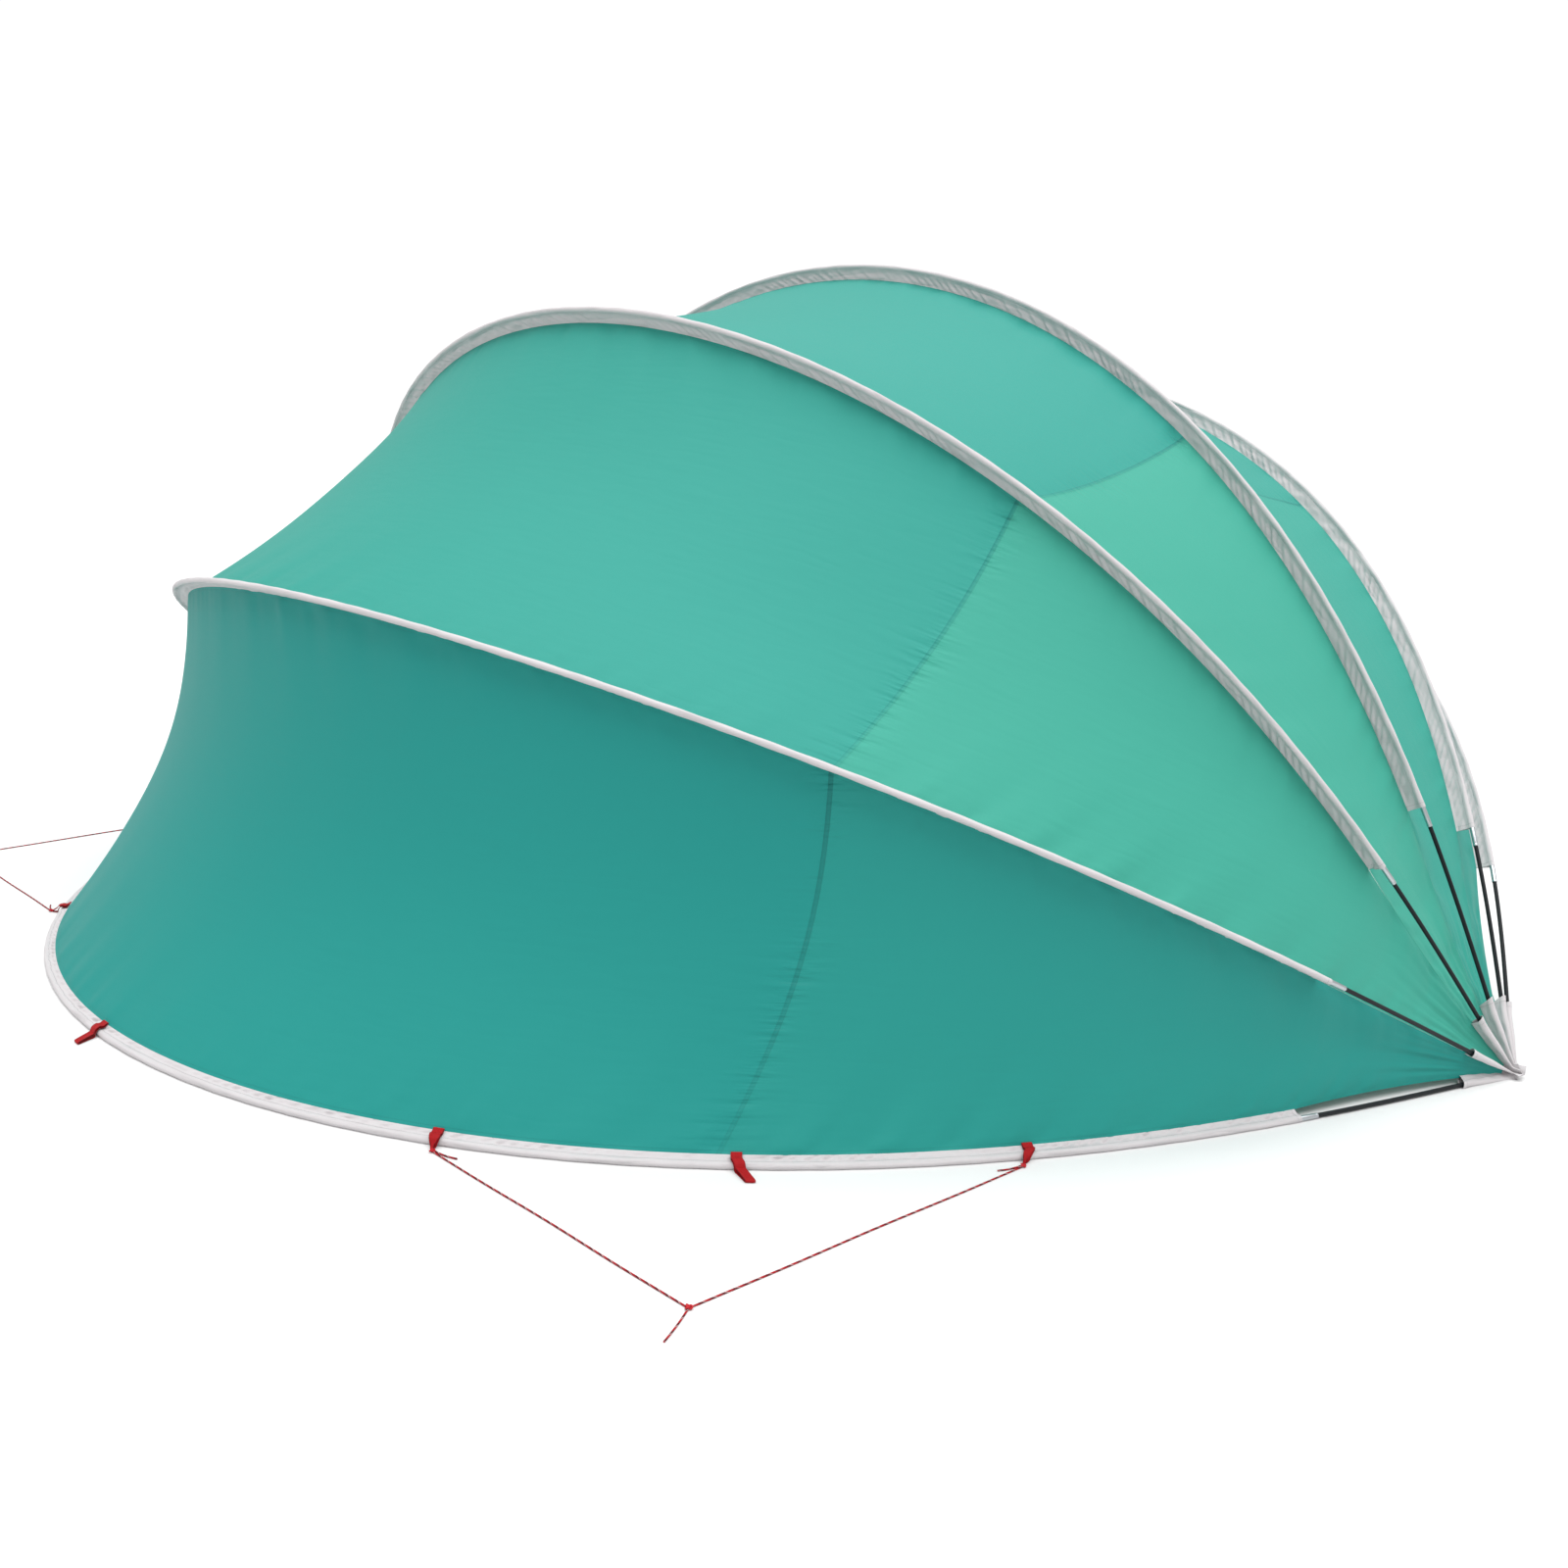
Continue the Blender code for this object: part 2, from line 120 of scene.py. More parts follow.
def arch_axes(number):
    """An arch's way out from the corner line, (0, cosine, sine) of its fan angle, and the way across it."""
    out = np.array((0.0, math.cos(FAN_ANGLES[number]), math.sin(FAN_ANGLES[number])))
    return out, np.array((0.0, -out[2], out[1]))


def along_arch(number, share, u=0.0, v=0.0, lean=0.0):
    """Points beside an arch: centre + u * outward + v * flank, one row for each share and one column for
    each pair of u and v. Outward lies in the arch's plane; lean turns both directions round the pole."""
    arch = ARCHES[number]
    out, side = arch_axes(number)
    across, height, slope = (
        np.interp(share, arch["share"], arch[key])[:, None, None] for key in ("across", "height", "slope")
    )
    centre = height * out + across * (1.0, 0.0, 0.0) + (0.0, CORNER_Y, CORNER_Z)
    normal = np.cos(slope) * out - np.sin(slope) * (1.0, 0.0, 0.0)
    outward = math.cos(lean) * normal - math.sin(lean) * side
    flank = math.sin(lean) * normal + math.cos(lean) * side
    u, v = (np.atleast_1d(np.asarray(w, float))[..., None] for w in (u, v))
    return centre + u * outward + v * flank


def grid_faces(rows, columns, around=False, start=0, turned=False):
    """Quads between neighbouring rows and columns, and where their corners lie in the unrolled grid;
    around joins the last column to the first."""
    unrolled = columns + 1 if around else columns
    row, column = np.meshgrid(np.arange(rows - 1), np.arange(unrolled - 1), indexing="ij")
    near, far = row * unrolled + column, (row + 1) * unrolled + column
    flat = np.stack((near, near + 1, far + 1, far), -1).reshape(-1, 4)
    faces = flat // unrolled * columns + flat % unrolled % columns + start
    return (faces[:, ::-1], flat[:, ::-1]) if turned else (faces, flat)


def wall_faces(rows, columns, around=False):
    """Faces of a closed wall: an outer grid, an inner grid turned round, and rims that join their edges."""
    total = rows * columns
    unrolled = columns + 1 if around else columns
    parts = [grid_faces(rows, columns, around), grid_faces(rows, columns, around, total, True)]
    here = np.arange(unrolled - 1)
    there = (here + 1) % columns
    for row, step in ((0, 1), (rows - 1, -1)):
        o, f = row * columns, row * unrolled
        rim = np.stack((o + here, total + o + here, total + o + there, o + there), 1)
        seen = np.stack((here, here, here + 1, here + 1), 1) + f
        parts.append((rim[:, ::step], seen[:, ::step]))
    if not around:
        down = np.arange(rows - 1) * columns
        for column, step in ((0, 1), (columns - 1, -1)):
            a, b = down + column, down + column + columns
            rim, seen = np.stack((a, b, total + b, total + a), 1), np.stack((a, b, b, a), 1)
            parts.append((rim[:, ::step], seen[:, ::step]))
    return tuple(np.concatenate(arrays) for arrays in zip(*parts))


def end_caps(rows, sides):
    """Two polygons that close a tube: its first ring turned round, and its last ring."""
    return range(sides - 1, -1, -1), range((rows - 1) * sides, rows * sides)


def make_piece(name, points, faces, material, flat, places, caps=(), edge=None):
    """One mesh from whole arrays. places is the unrolled grid's surface position in metres, which flat
    picks out for each face corner; caps are end polygons; edge is each point's distance from a cut edge."""
    mesh = bpy.data.meshes.new(name)
    mesh.from_pydata(points.reshape(-1, 3).tolist(), [], faces.tolist() + [list(c) for c in caps])
    corners = np.concatenate((places.reshape(-1, 2)[flat.reshape(-1)], np.zeros((sum(map(len, caps)), 2))))
    mesh.uv_layers.new(name="surface").data.foreach_set("uv", corners.astype(np.float32).ravel())
    if edge is not None:
        layer = mesh.attributes.new("edge", "FLOAT", "POINT")
        layer.data.foreach_set("value", edge.astype(np.float32).ravel())
    mesh.polygons.foreach_set("use_smooth", np.ones(len(mesh.polygons), bool))
    mesh.set_sharp_from_angle(angle=math.radians(50.0))
    mesh.materials.append(material)
    return new_object(name, mesh)


def unroll(lengths, rings):
    """The surface position of each point of an unrolled grid: metres along, and metres round the outline
    counted from its middle."""
    closed = np.concatenate((rings, rings[:, :1]), axis=1)
    steps = np.linalg.norm(np.diff(closed, axis=1), axis=2)
    round_way = np.concatenate((np.zeros((len(rings), 1)), np.cumsum(steps, axis=1)), axis=1)
    round_way = round_way - round_way[:, -1:] / 2.0
    return np.stack((np.broadcast_to(np.asarray(lengths)[:, None], round_way.shape), round_way), -1)


def calc(tree, operation, *values):
    """A Math node; each value is a number or another node's output."""
    made = tree.nodes.new("ShaderNodeMath")
    made.operation = operation
    for socket, value in zip(made.inputs, values):
        if isinstance(value, (int, float)):
            socket.default_value = value
        else:
            tree.links.new(value, socket)
    return made.outputs[0]


def noise(tree, place, size, stretch=(1.0, 1.0, 1.0), turn=0.0, detail=2.0):
    """Smooth noise with features of a size in metres, stretched along X, Y and Z after a turn about Z."""
    mapping = tree.nodes.new("ShaderNodeMapping")
    mapping.inputs["Rotation"].default_value = (0.0, 0.0, turn)
    mapping.inputs["Scale"].default_value = tuple(1.0 / (size * s) for s in stretch)
    texture = tree.nodes.new("ShaderNodeTexNoise")
    texture.inputs["Scale"].default_value = 1.0
    texture.inputs["Detail"].default_value = detail
    tree.links.new(place, mapping.inputs["Vector"])
    tree.links.new(mapping.outputs[0], texture.inputs["Vector"])
    return texture.outputs["Fac"]


def surface_place(tree):
    """The piece's own surface position in metres, whole and as its two parts."""
    place = tree.nodes.new("ShaderNodeUVMap")
    place.uv_map = "surface"
    parts = tree.nodes.new("ShaderNodeSeparateXYZ")
    tree.links.new(place.outputs[0], parts.inputs[0])
    return place.outputs[0], parts.outputs[0], parts.outputs[1]


def new_finish(name, **steady):
    """A Principled material; steady values go on the shader's own sockets."""
    material = bpy.data.materials.new(name)
    material.use_nodes = True
    shader = material.node_tree.nodes["Principled BSDF"]
    for socket, value in steady.items():
        shader.inputs[socket.replace("_", " ")].default_value = value
    return material, material.node_tree, shader


def shade(tree, shader, dark, light, mask):
    """Colour from dark to light as the mask goes from 0 to 1, given to the shader if there is one."""
    mix = tree.nodes.new("ShaderNodeMix")
    mix.data_type = "RGBA"
    tree.links.new(mask, mix.inputs[0])
    for slot, colour in ((mix.inputs[6], dark), (mix.inputs[7], light)):
        if isinstance(colour, tuple):
            slot.default_value = (*colour, 1.0)
        else:
            tree.links.new(colour, slot)
    if shader is not None:
        tree.links.new(mix.outputs[2], shader.inputs["Base Color"])
    return mix.outputs[2]


def roughen(tree, shader, mask, spread, least):
    """Roughness: the least, and the spread times the mask."""
    tree.links.new(calc(tree, "MULTIPLY_ADD", mask, spread, least), shader.inputs["Roughness"])


def raise_surface(tree, shader, height):
    """Bump from a height in metres."""
    bump = tree.nodes.new("ShaderNodeBump")
    bump.inputs["Distance"].default_value = 1.0
    tree.links.new(height, bump.inputs["Height"])
    tree.links.new(bump.outputs[0], shader.inputs["Normal"])


def glass_fibre():
    """Dark resin with fibre streaks that run along the rod, and a dull handled sheen."""
    material, tree, shader = new_finish("glass_fibre", Specular_IOR_Level=0.2)
    place = surface_place(tree)[0]
    streaks = noise(tree, place, 0.0008, (60.0, 1.0, 1.0), detail=3.0)
    patches = noise(tree, place, 0.05, (3.0, 0.3, 1.0))
    shade(tree, shader, (0.003, 0.004, 0.005), (0.014, 0.017, 0.020), streaks)
    roughen(tree, shader, patches, 0.16, 0.38)
    raise_surface(tree, shader, calc(tree, "MULTIPLY", streaks, 0.00008))
    return material


def round_ring(radius, count):
    """Places on a circle, counter-clockwise, starting opposite the outward side."""
    turn = np.linspace(-math.pi, math.pi, count, endpoint=False)
    return radius * np.cos(turn), radius * np.sin(turn)


black_fibre = glass_fibre()
for number, body in enumerate(BODIES):
    length = ARCHES[number]["length"]
    share = np.linspace(POLE_FROM_CORNER / length, 1.0 - POLE_FROM_CORNER / length, POLE_ROWS)
    rings = along_arch(number, share, *round_ring(POLE_RADIUS, POLE_SIDES))
    faces, flat = grid_faces(POLE_ROWS, POLE_SIDES, around=True)
    pole = make_piece(
        f"fibre_pole_{number}", rings, faces, black_fibre, flat, unroll(share * length, rings),
        end_caps(POLE_ROWS, POLE_SIDES),
    )
    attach(pole, body)
    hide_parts(f"pole_{number}")


# ---- Ferrules ----
# Drawn aluminium tubes over the pole where its end section plugs in. Each is crimped near both
# ends, turned in at the lips, and pushed 15 mm up into the sleeve's mouth.
SLEEVE_STARTS = (0.100, 0.1075, 0.1025, 0.106, 0.100, 0.0945)
FERRULE_LENGTH, FERRULE_HIDDEN = 0.060, 0.015
FERRULE_PROFILE = np.array((
    (0.0000, 0.0050), (0.0004, 0.0054), (0.0012, 0.0056), (0.0040, 0.0056), (0.0050, 0.0054),
    (0.0060, 0.00515), (0.0070, 0.0054), (0.0080, 0.0056), (0.0300, 0.0056), (0.0510, 0.0056),
    (0.0520, 0.0054), (0.0530, 0.00515), (0.0540, 0.0054), (0.0550, 0.0056), (0.0588, 0.0056),
    (0.0596, 0.0054), (0.0600, 0.0050),
))
FERRULE_BORE = 0.0047
FERRULE_SIDES = 24


def drawn_aluminium():
    """Bright metal with fine drawing lines along the tube and a few scuffs."""
    material, tree, shader = new_finish("drawn_aluminium", Metallic=1.0)
    place = surface_place(tree)[0]
    lines = noise(tree, place, 0.0004, (40.0, 1.0, 1.0), detail=3.0)
    scuffs = noise(tree, place, 0.004, (1.0, 0.4, 1.0), turn=0.5, detail=4.0)
    shade(tree, shader, (0.40, 0.42, 0.44), (0.62, 0.64, 0.66), lines)
    roughen(tree, shader, scuffs, 0.30, 0.20)
    raise_surface(tree, shader, calc(tree, "MULTIPLY", lines, 0.00003))
    return material


silver = drawn_aluminium()
for number, body in enumerate(BODIES):
    length, start = ARCHES[number]["length"], SLEEVE_STARTS[number]
    for side, mouth, way in (("left", start, 1.0), ("right", 1.0 - start, -1.0)):
        far = mouth + way * (FERRULE_HIDDEN - FERRULE_LENGTH) / length
        share = far + way * FERRULE_PROFILE[:, 0] / length
        profile = FERRULE_PROFILE[:, 1:]
        if way < 0.0:
            share, profile = share[::-1], profile[::-1]
        cos, sin = round_ring(1.0, FERRULE_SIDES)
        outer, inner = (
            along_arch(number, share, radius * cos, radius * sin)
            for radius in (profile, np.full_like(profile, FERRULE_BORE))
        )
        faces, flat = wall_faces(len(share), FERRULE_SIDES, around=True)
        tube = make_piece(
            f"metal_ferrule_{number}_{side}", np.stack((outer, inner)), faces, silver, flat,
            unroll(share * length, outer),
        )
        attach(tube, body)
        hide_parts(f"ferrule_{number}_{side}")


# ---- Sleeves ----
# A strip of pale grey polyester folded round the pole and stitched to itself as a flat fin, whose
# far edge is sewn into the seam between two widths of canopy. Tension pulls slanting creases in it.
SLEEVE_RADIUS, CHANNEL_RADIUS = 0.0064, 0.0058
GROUND_GAP = 0.0002
FIN_WIDTHS = (0.021, 0.034, 0.034, 0.034, 0.034, 0.034)
FIN_HALVES = ((0.0105, 0.0014), (0.0125, 0.0006), (0.0150, 0.0009))
FIN_EDGE_HALF = 0.0006
FIN_LEANS = np.radians((36.0, 0.0, 0.0, 0.0, 0.0, 0.0))
SLEEVE_ROWS = 1150
CHANNEL_SWEEP = math.radians(118.0)
FOLDS_FROM_POLE = 0.007
FOLDS = ((0.027, 1.7, 0.0019, 0.53), (0.041, 1.5, 0.0017, 0.83), (0.071, -0.8, 0.0010, 1.37))
CHANNEL_STITCHES, MOUTH_STITCHES = 0.0165, 0.010


def new_group(name, inputs, outputs):
    """An empty node group: its tree, the sockets it is given and the sockets it fills. Place is a vector."""
    tree = bpy.data.node_groups.new(name, "ShaderNodeTree")
    for way, labels in (("INPUT", inputs), ("OUTPUT", outputs)):
        for label in labels:
            kind = "NodeSocketVector" if label == "Place" else "NodeSocketFloat"
            tree.interface.new_socket(label, in_out=way, socket_type=kind)
    return tree, tree.nodes.new("NodeGroupInput").outputs, tree.nodes.new("NodeGroupOutput").inputs


def thread_group():
    """Plain weave: sine of the warp place times sine of the weft place, with slubs along both threads."""
    tree, given, made = new_group("plain_weave", ("Place", "Pitch"), ("Height", "Slubs"))
    parts = tree.nodes.new("ShaderNodeSeparateXYZ")
    tree.links.new(given["Place"], parts.inputs[0])
    waves = []
    for part in (parts.outputs[0], parts.outputs[1]):
        threads = calc(tree, "DIVIDE", part, given["Pitch"])
        waves.append(calc(tree, "SINE", calc(tree, "MULTIPLY", threads, math.pi)))
    tree.links.new(calc(tree, "MULTIPLY", *waves), made["Height"])
    warp = noise(tree, given["Place"], 0.0012, (30.0, 1.0, 1.0))
    weft = noise(tree, given["Place"], 0.0012, (1.0, 30.0, 1.0))
    tree.links.new(calc(tree, "MULTIPLY", calc(tree, "ADD", warp, weft), 0.5), made["Slubs"])
    return tree


def crease_group():
    """Soft creases: two layers of stretched noise that slant opposite ways, folded about their middle
    so that each leaves narrow ridges."""
    tree, given, made = new_group("soft_creases", ("Place",), ("Height",))
    ridges = []
    for size, turn in ((0.030, 0.75), (0.045, -0.60)):
        layer = noise(tree, given["Place"], size, (5.0, 1.0, 1.0), turn, 1.0)
        ridges.append(calc(tree, "ABSOLUTE", calc(tree, "SUBTRACT", layer, 0.5)))
    tree.links.new(calc(tree, "ADD", *ridges), made["Height"])
    return tree


def stitch_group():
    """A row of stitches: 1 where the distance is within half a thread of the row, broken every 3.5 mm."""
    tree, given, made = new_group("stitch_row", ("Distance", "Row", "Along"), ("Mask",))
    near = calc(tree, "COMPARE", given["Distance"], given["Row"], 0.0005)
    dash = calc(tree, "LESS_THAN", calc(tree, "FRACT", calc(tree, "DIVIDE", given["Along"], 0.0035)), 0.72)
    tree.links.new(calc(tree, "MULTIPLY", near, dash), made["Mask"])
    return tree


WEAVE, CREASES, STITCHES = thread_group(), crease_group(), stitch_group()


def place_group(tree, group, **inputs):
    """The group in a material; each input is a number or another node's output."""
    made = tree.nodes.new("ShaderNodeGroup")
    made.node_tree = group
    for name, value in inputs.items():
        if isinstance(value, (int, float)):
            made.inputs[name].default_value = value
        else:
            tree.links.new(value, made.inputs[name])
    return made.outputs


def attribute_value(tree, name):
    """A number stored with each point; "edge" is its distance from the nearest cut edge in metres."""
    attribute = tree.nodes.new("ShaderNodeAttribute")
    attribute.attribute_name = name
    return attribute.outputs["Fac"]


def grey_polyester():
    """Pale grey cloth: weave, slanting creases, a stitched channel, stitched mouths and a little soil."""
    material, tree, shader = new_finish("grey_polyester", Sheen_Weight=0.10, Sheen_Roughness=0.5)
    place, along, round_way = surface_place(tree)
    weave = place_group(tree, WEAVE, Place=place, Pitch=0.0006)
    creases = place_group(tree, CREASES, Place=place)["Height"]
    from_middle = calc(tree, "ABSOLUTE", round_way)
    edge = attribute_value(tree, "edge")
    stitches = calc(
        tree, "MAXIMUM",
        place_group(tree, STITCHES, Distance=from_middle, Row=CHANNEL_STITCHES, Along=along)["Mask"],
        place_group(tree, STITCHES, Distance=edge, Row=MOUTH_STITCHES, Along=round_way)["Mask"],
    )
    soil = noise(tree, place, 0.12, (1.0, 0.5, 1.0), detail=3.0)
    cloth = shade(tree, None, (0.50, 0.475, 0.485), (0.62, 0.590, 0.600), calc(
        tree, "ADD", calc(tree, "MULTIPLY", weave["Slubs"], 0.6), calc(tree, "MULTIPLY", soil, 0.4)))
    shade(tree, shader, cloth, (0.36, 0.34, 0.35), stitches)
    roughen(tree, shader, weave["Slubs"], 0.2, 0.62)
    height = calc(tree, "MULTIPLY", weave["Height"], 0.00004)
    height = calc(tree, "MULTIPLY_ADD", creases, 0.010, height)
    raise_surface(tree, shader, calc(tree, "MULTIPLY_ADD", stitches, -0.0003, height))
    return material


def sleeve_outline(fin):
    """Half the fin, round the pole, and back down the fin: u away from the fin, v across it."""
    depths, halves = zip(*FIN_HALVES, (fin, FIN_EDGE_HALF))
    down = np.linspace(depths[0], fin, 8)
    half = np.interp(down, depths, halves)
    turn = np.linspace(-CHANNEL_SWEEP, CHANNEL_SWEEP, 13)
    u = np.concatenate((-down[::-1], SLEEVE_RADIUS * np.cos(turn), -down))
    v = np.concatenate((-half[::-1], SLEEVE_RADIUS * np.sin(turn), half))
    return u, v


def slanting_folds(lengths, down, fin, number):
    """Folds across the fin: sines of the place along plus a slant times the place across, each swelling and
    fading along the arch, sharpened by 0.35 sine of twice the angle, and none at the pole or the seam.
    Each of FOLDS gives a size, a slant, a depth and the length over which it swells."""
    q = np.clip((down - FOLDS_FROM_POLE) / (fin - FOLDS_FROM_POLE), 0.0, 1.0)
    total = np.zeros((len(lengths), len(down)))
    for size, slant, depth, beat in FOLDS:
        drift = 0.35 * np.sin(2.0 * math.pi * lengths[:, None] / (beat * 0.37) + number)
        phase = 2.0 * math.pi * (lengths[:, None] + slant * down) / size + 1.7 * number + 2.0 * drift
        swell = 0.55 + 0.45 * np.sin(2.0 * math.pi * lengths[:, None] / beat + number + size * 40.0)
        total += depth * swell * (np.sin(phase) + 0.35 * np.sin(2.0 * phase))
    return total * np.sin(math.pi * q) ** 0.7


pale_grey = grey_polyester()
for number, body in enumerate(BODIES):
    length = ARCHES[number]["length"]
    lean, start, fin = FIN_LEANS[number], SLEEVE_STARTS[number], FIN_WIDTHS[number]
    share = np.linspace(start, 1.0 - start, SLEEVE_ROWS)
    u, v = sleeve_outline(fin)
    folds = slanting_folds(share * length, np.maximum(-u, 0.0), fin, number)
    loose = 1.0 + 0.05 * np.sin(share * length * 71.0 + number)[:, None] * (u > -0.004)
    outer = along_arch(number, share, u * loose, v * loose + folds, lean)
    turn = np.linspace(-math.pi, math.pi, len(u), endpoint=False)
    inner = along_arch(number, share, CHANNEL_RADIUS * np.cos(turn), CHANNEL_RADIUS * np.sin(turn), lean)
    if number == 0:
        outer[..., 2] = np.maximum(outer[..., 2], GROUND_GAP)
        inner[..., 2] = np.maximum(inner[..., 2], GROUND_GAP + 0.0004)
    faces, flat = wall_faces(len(share), len(u), around=True)
    to_mouth = np.minimum(share - start, 1.0 - start - share) * length
    sleeve = make_piece(
        f"cloth_sleeve_{number}", np.stack((outer, inner)), faces, pale_grey, flat,
        unroll(share * length, outer), edge=np.tile(np.repeat(to_mouth, len(u)), 2),
    )
    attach(sleeve, body)
    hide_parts(f"sleeve_{number}")


# ---- Canopy ----
# Five widths of sea-green polyester sewn between the sleeves, one stretched saddle each. Two felled
# seams cross every width, and between sleeve and corner the cloth ends in a narrow folded hem.
SEAM_SHARE, SEAM_HALF_WIDTH = 0.285, 0.0050
HEM_SAG = 0.012
SADDLE_DEPTHS = (0.10, 0.05, 0.035, 0.05, 0.05)
CLOTH_HALF = 0.0003
CANOPY_LENGTH = 6.3
SEAM_PLACE = (0.5 - SEAM_SHARE) * CANOPY_LENGTH
PANEL_FROM_CORNER = 0.030
CANOPY_ROWS, CANOPY_COLUMNS = 600, 45
PUCKERS = ((0.047, 0.0010, 0.030), (0.083, 0.0016, 0.055), (0.190, 0.0028, 0.110))
# Painted light for each width: its tone between the shaded and the lit green, and how much lighter it is
# painted beyond the cross seams, as light coming through.
PAINTED_LIGHT_TONES = ((0.0, 0.10), (0.45, 0.50), (0.40, 0.60), (0.50, 0.15), (0.50, 0.0))
FIN_LAP_SHORT, SEAM_SIDE, HEM_SIDE = 0.0004, 0.00075, 0.00035
SWELL_DEPTH, GATHER_DEPTH = 0.0040, 0.0026
SEAM_DIP, SEAM_DIP_REACH, SEAM_STEP = 0.0016, 0.035, 0.0004
GATHERS_AT, GATHERS_REACH = 0.24, 0.15
CALM_CORNER, CALM_EDGE, FULL_WIDTH = 0.20, 0.012, 0.10


def unit(vectors):
    """The vectors over their lengths."""
    return vectors / np.linalg.norm(vectors, axis=-1, keepdims=True)


def canopy_edge(number, share, way):
    """Where a width of canopy ends: along the fin's sewn edge, then from the sleeve's mouth to the corner
    on a straight line drawn in by 4 q (1 - q) times the hem's sag, q being the share of that way. The cloth
    lies half the seam's thickness to the side that way says, and closer where it has no fin beside it."""
    start, lean, lap = SLEEVE_STARTS[number], FIN_LEANS[number], FIN_WIDTHS[number] - FIN_LAP_SHORT
    q = np.clip(np.minimum(share, 1.0 - share) / start, 0.0, 1.0)[:, None]
    held = np.clip(share, start, 1.0 - start)
    sewn = along_arch(number, held, -lap, 0.0, lean)[:, 0]
    inward = (sewn - along_arch(number, held)[:, 0]) / lap
    across = np.where(share < 0.5, -CORNER_X, CORNER_X)[:, None]
    corner = across * (1.0, 0.0, 0.0) + (0.0, CORNER_Y, CORNER_Z)
    line = corner * (1.0 - q) + sewn * q + inward * HEM_SAG * 4.0 * q * (1.0 - q)
    sideways = HEM_SIDE + (SEAM_SIDE - HEM_SIDE) * np.clip(q * 6.0 - 5.0, 0.0, 1.0)
    return line + arch_axes(number)[1] * way * sideways


def canopy_relief(along, low, high, number):
    """Height of the cloth above its smooth saddle: puckers that die away from both sleeves, a long slow
    swell, a pulled line at each cross seam, and gathers near the corners, which are two sines across the
    cloth times a bell of the distance to the corner. Each of PUCKERS gives a size, a depth and a reach."""
    t = low / np.maximum(low + high, 1e-6)
    relief = np.zeros_like(low)
    for away, shift in ((low, 0.0), (high, 2.1)):
        for size, depth, fade in PUCKERS:
            beat = 0.6 + 0.4 * np.sin(along * 2.0 * math.pi / (size * 11.3) + shift + number)
            wave = np.sin(2.0 * math.pi * (along + 0.35 * away) / size + 1.3 * number + shift)
            relief += depth * beat * wave * np.exp(-away / fade)
    slow = np.sin(along * 3.1 + number * 1.9) * np.sin(t * math.pi * 2.0 + along * 0.8 + number)
    relief += SWELL_DEPTH * slow * 4.0 * t * (1.0 - t)
    off_seam = np.abs(np.abs(along) - SEAM_PLACE)
    relief += SEAM_STEP * (off_seam < SEAM_HALF_WIDTH) - SEAM_DIP * np.exp(-((off_seam / SEAM_DIP_REACH) ** 2))
    to_corner = CANOPY_LENGTH / 2.0 - np.abs(along)
    fan = np.exp(-(((to_corner - GATHERS_AT) / GATHERS_REACH) ** 2))
    folds = 0.55 * np.sin(t * math.pi * 7.0 + number)
    folds = folds + 0.45 * np.sin(t * math.pi * 13.0 + 2.0 * number + to_corner * 4.0)
    gathers = folds * np.sin(t * math.pi) ** 0.7 * fan * np.clip((low + high) / FULL_WIDTH, 0.0, 1.0)
    calm = np.clip(to_corner / CALM_CORNER, 0.0, 1.0)
    return (relief + GATHER_DEPTH * gathers) * calm * np.clip(np.minimum(low, high) / CALM_EDGE, 0.0, 1.0)


def tuck_group():
    """Fine tucks square to a cross seam: noise drawn out away from the seam, strongest beside it and gone a
    few centimetres off, in a finer and a coarser size, gathered in clusters by a slower noise."""
    tree, given, made = new_group("seam_tucks", ("Place", "Distance"), ("Height",))
    tucks = []
    for size, reach in ((0.008, 0.016), (0.019, 0.034)):
        layer = calc(tree, "SUBTRACT", noise(tree, given["Place"], size, (7.0, 1.0, 1.0), detail=1.0), 0.5)
        fade = calc(tree, "POWER", 2.718, calc(tree, "DIVIDE", given["Distance"], -reach))
        tucks.append(calc(tree, "MULTIPLY", calc(tree, "MULTIPLY", layer, fade), size))
    clusters = calc(tree, "MULTIPLY_ADD", noise(tree, given["Place"], 0.16), 5.0, -1.9)
    gathered = calc(tree, "MULTIPLY", calc(tree, "ADD", *tucks), calc(tree, "MAXIMUM", clusters, 0.12))
    tree.links.new(gathered, made["Height"])
    return tree


TUCKS = tuck_group()


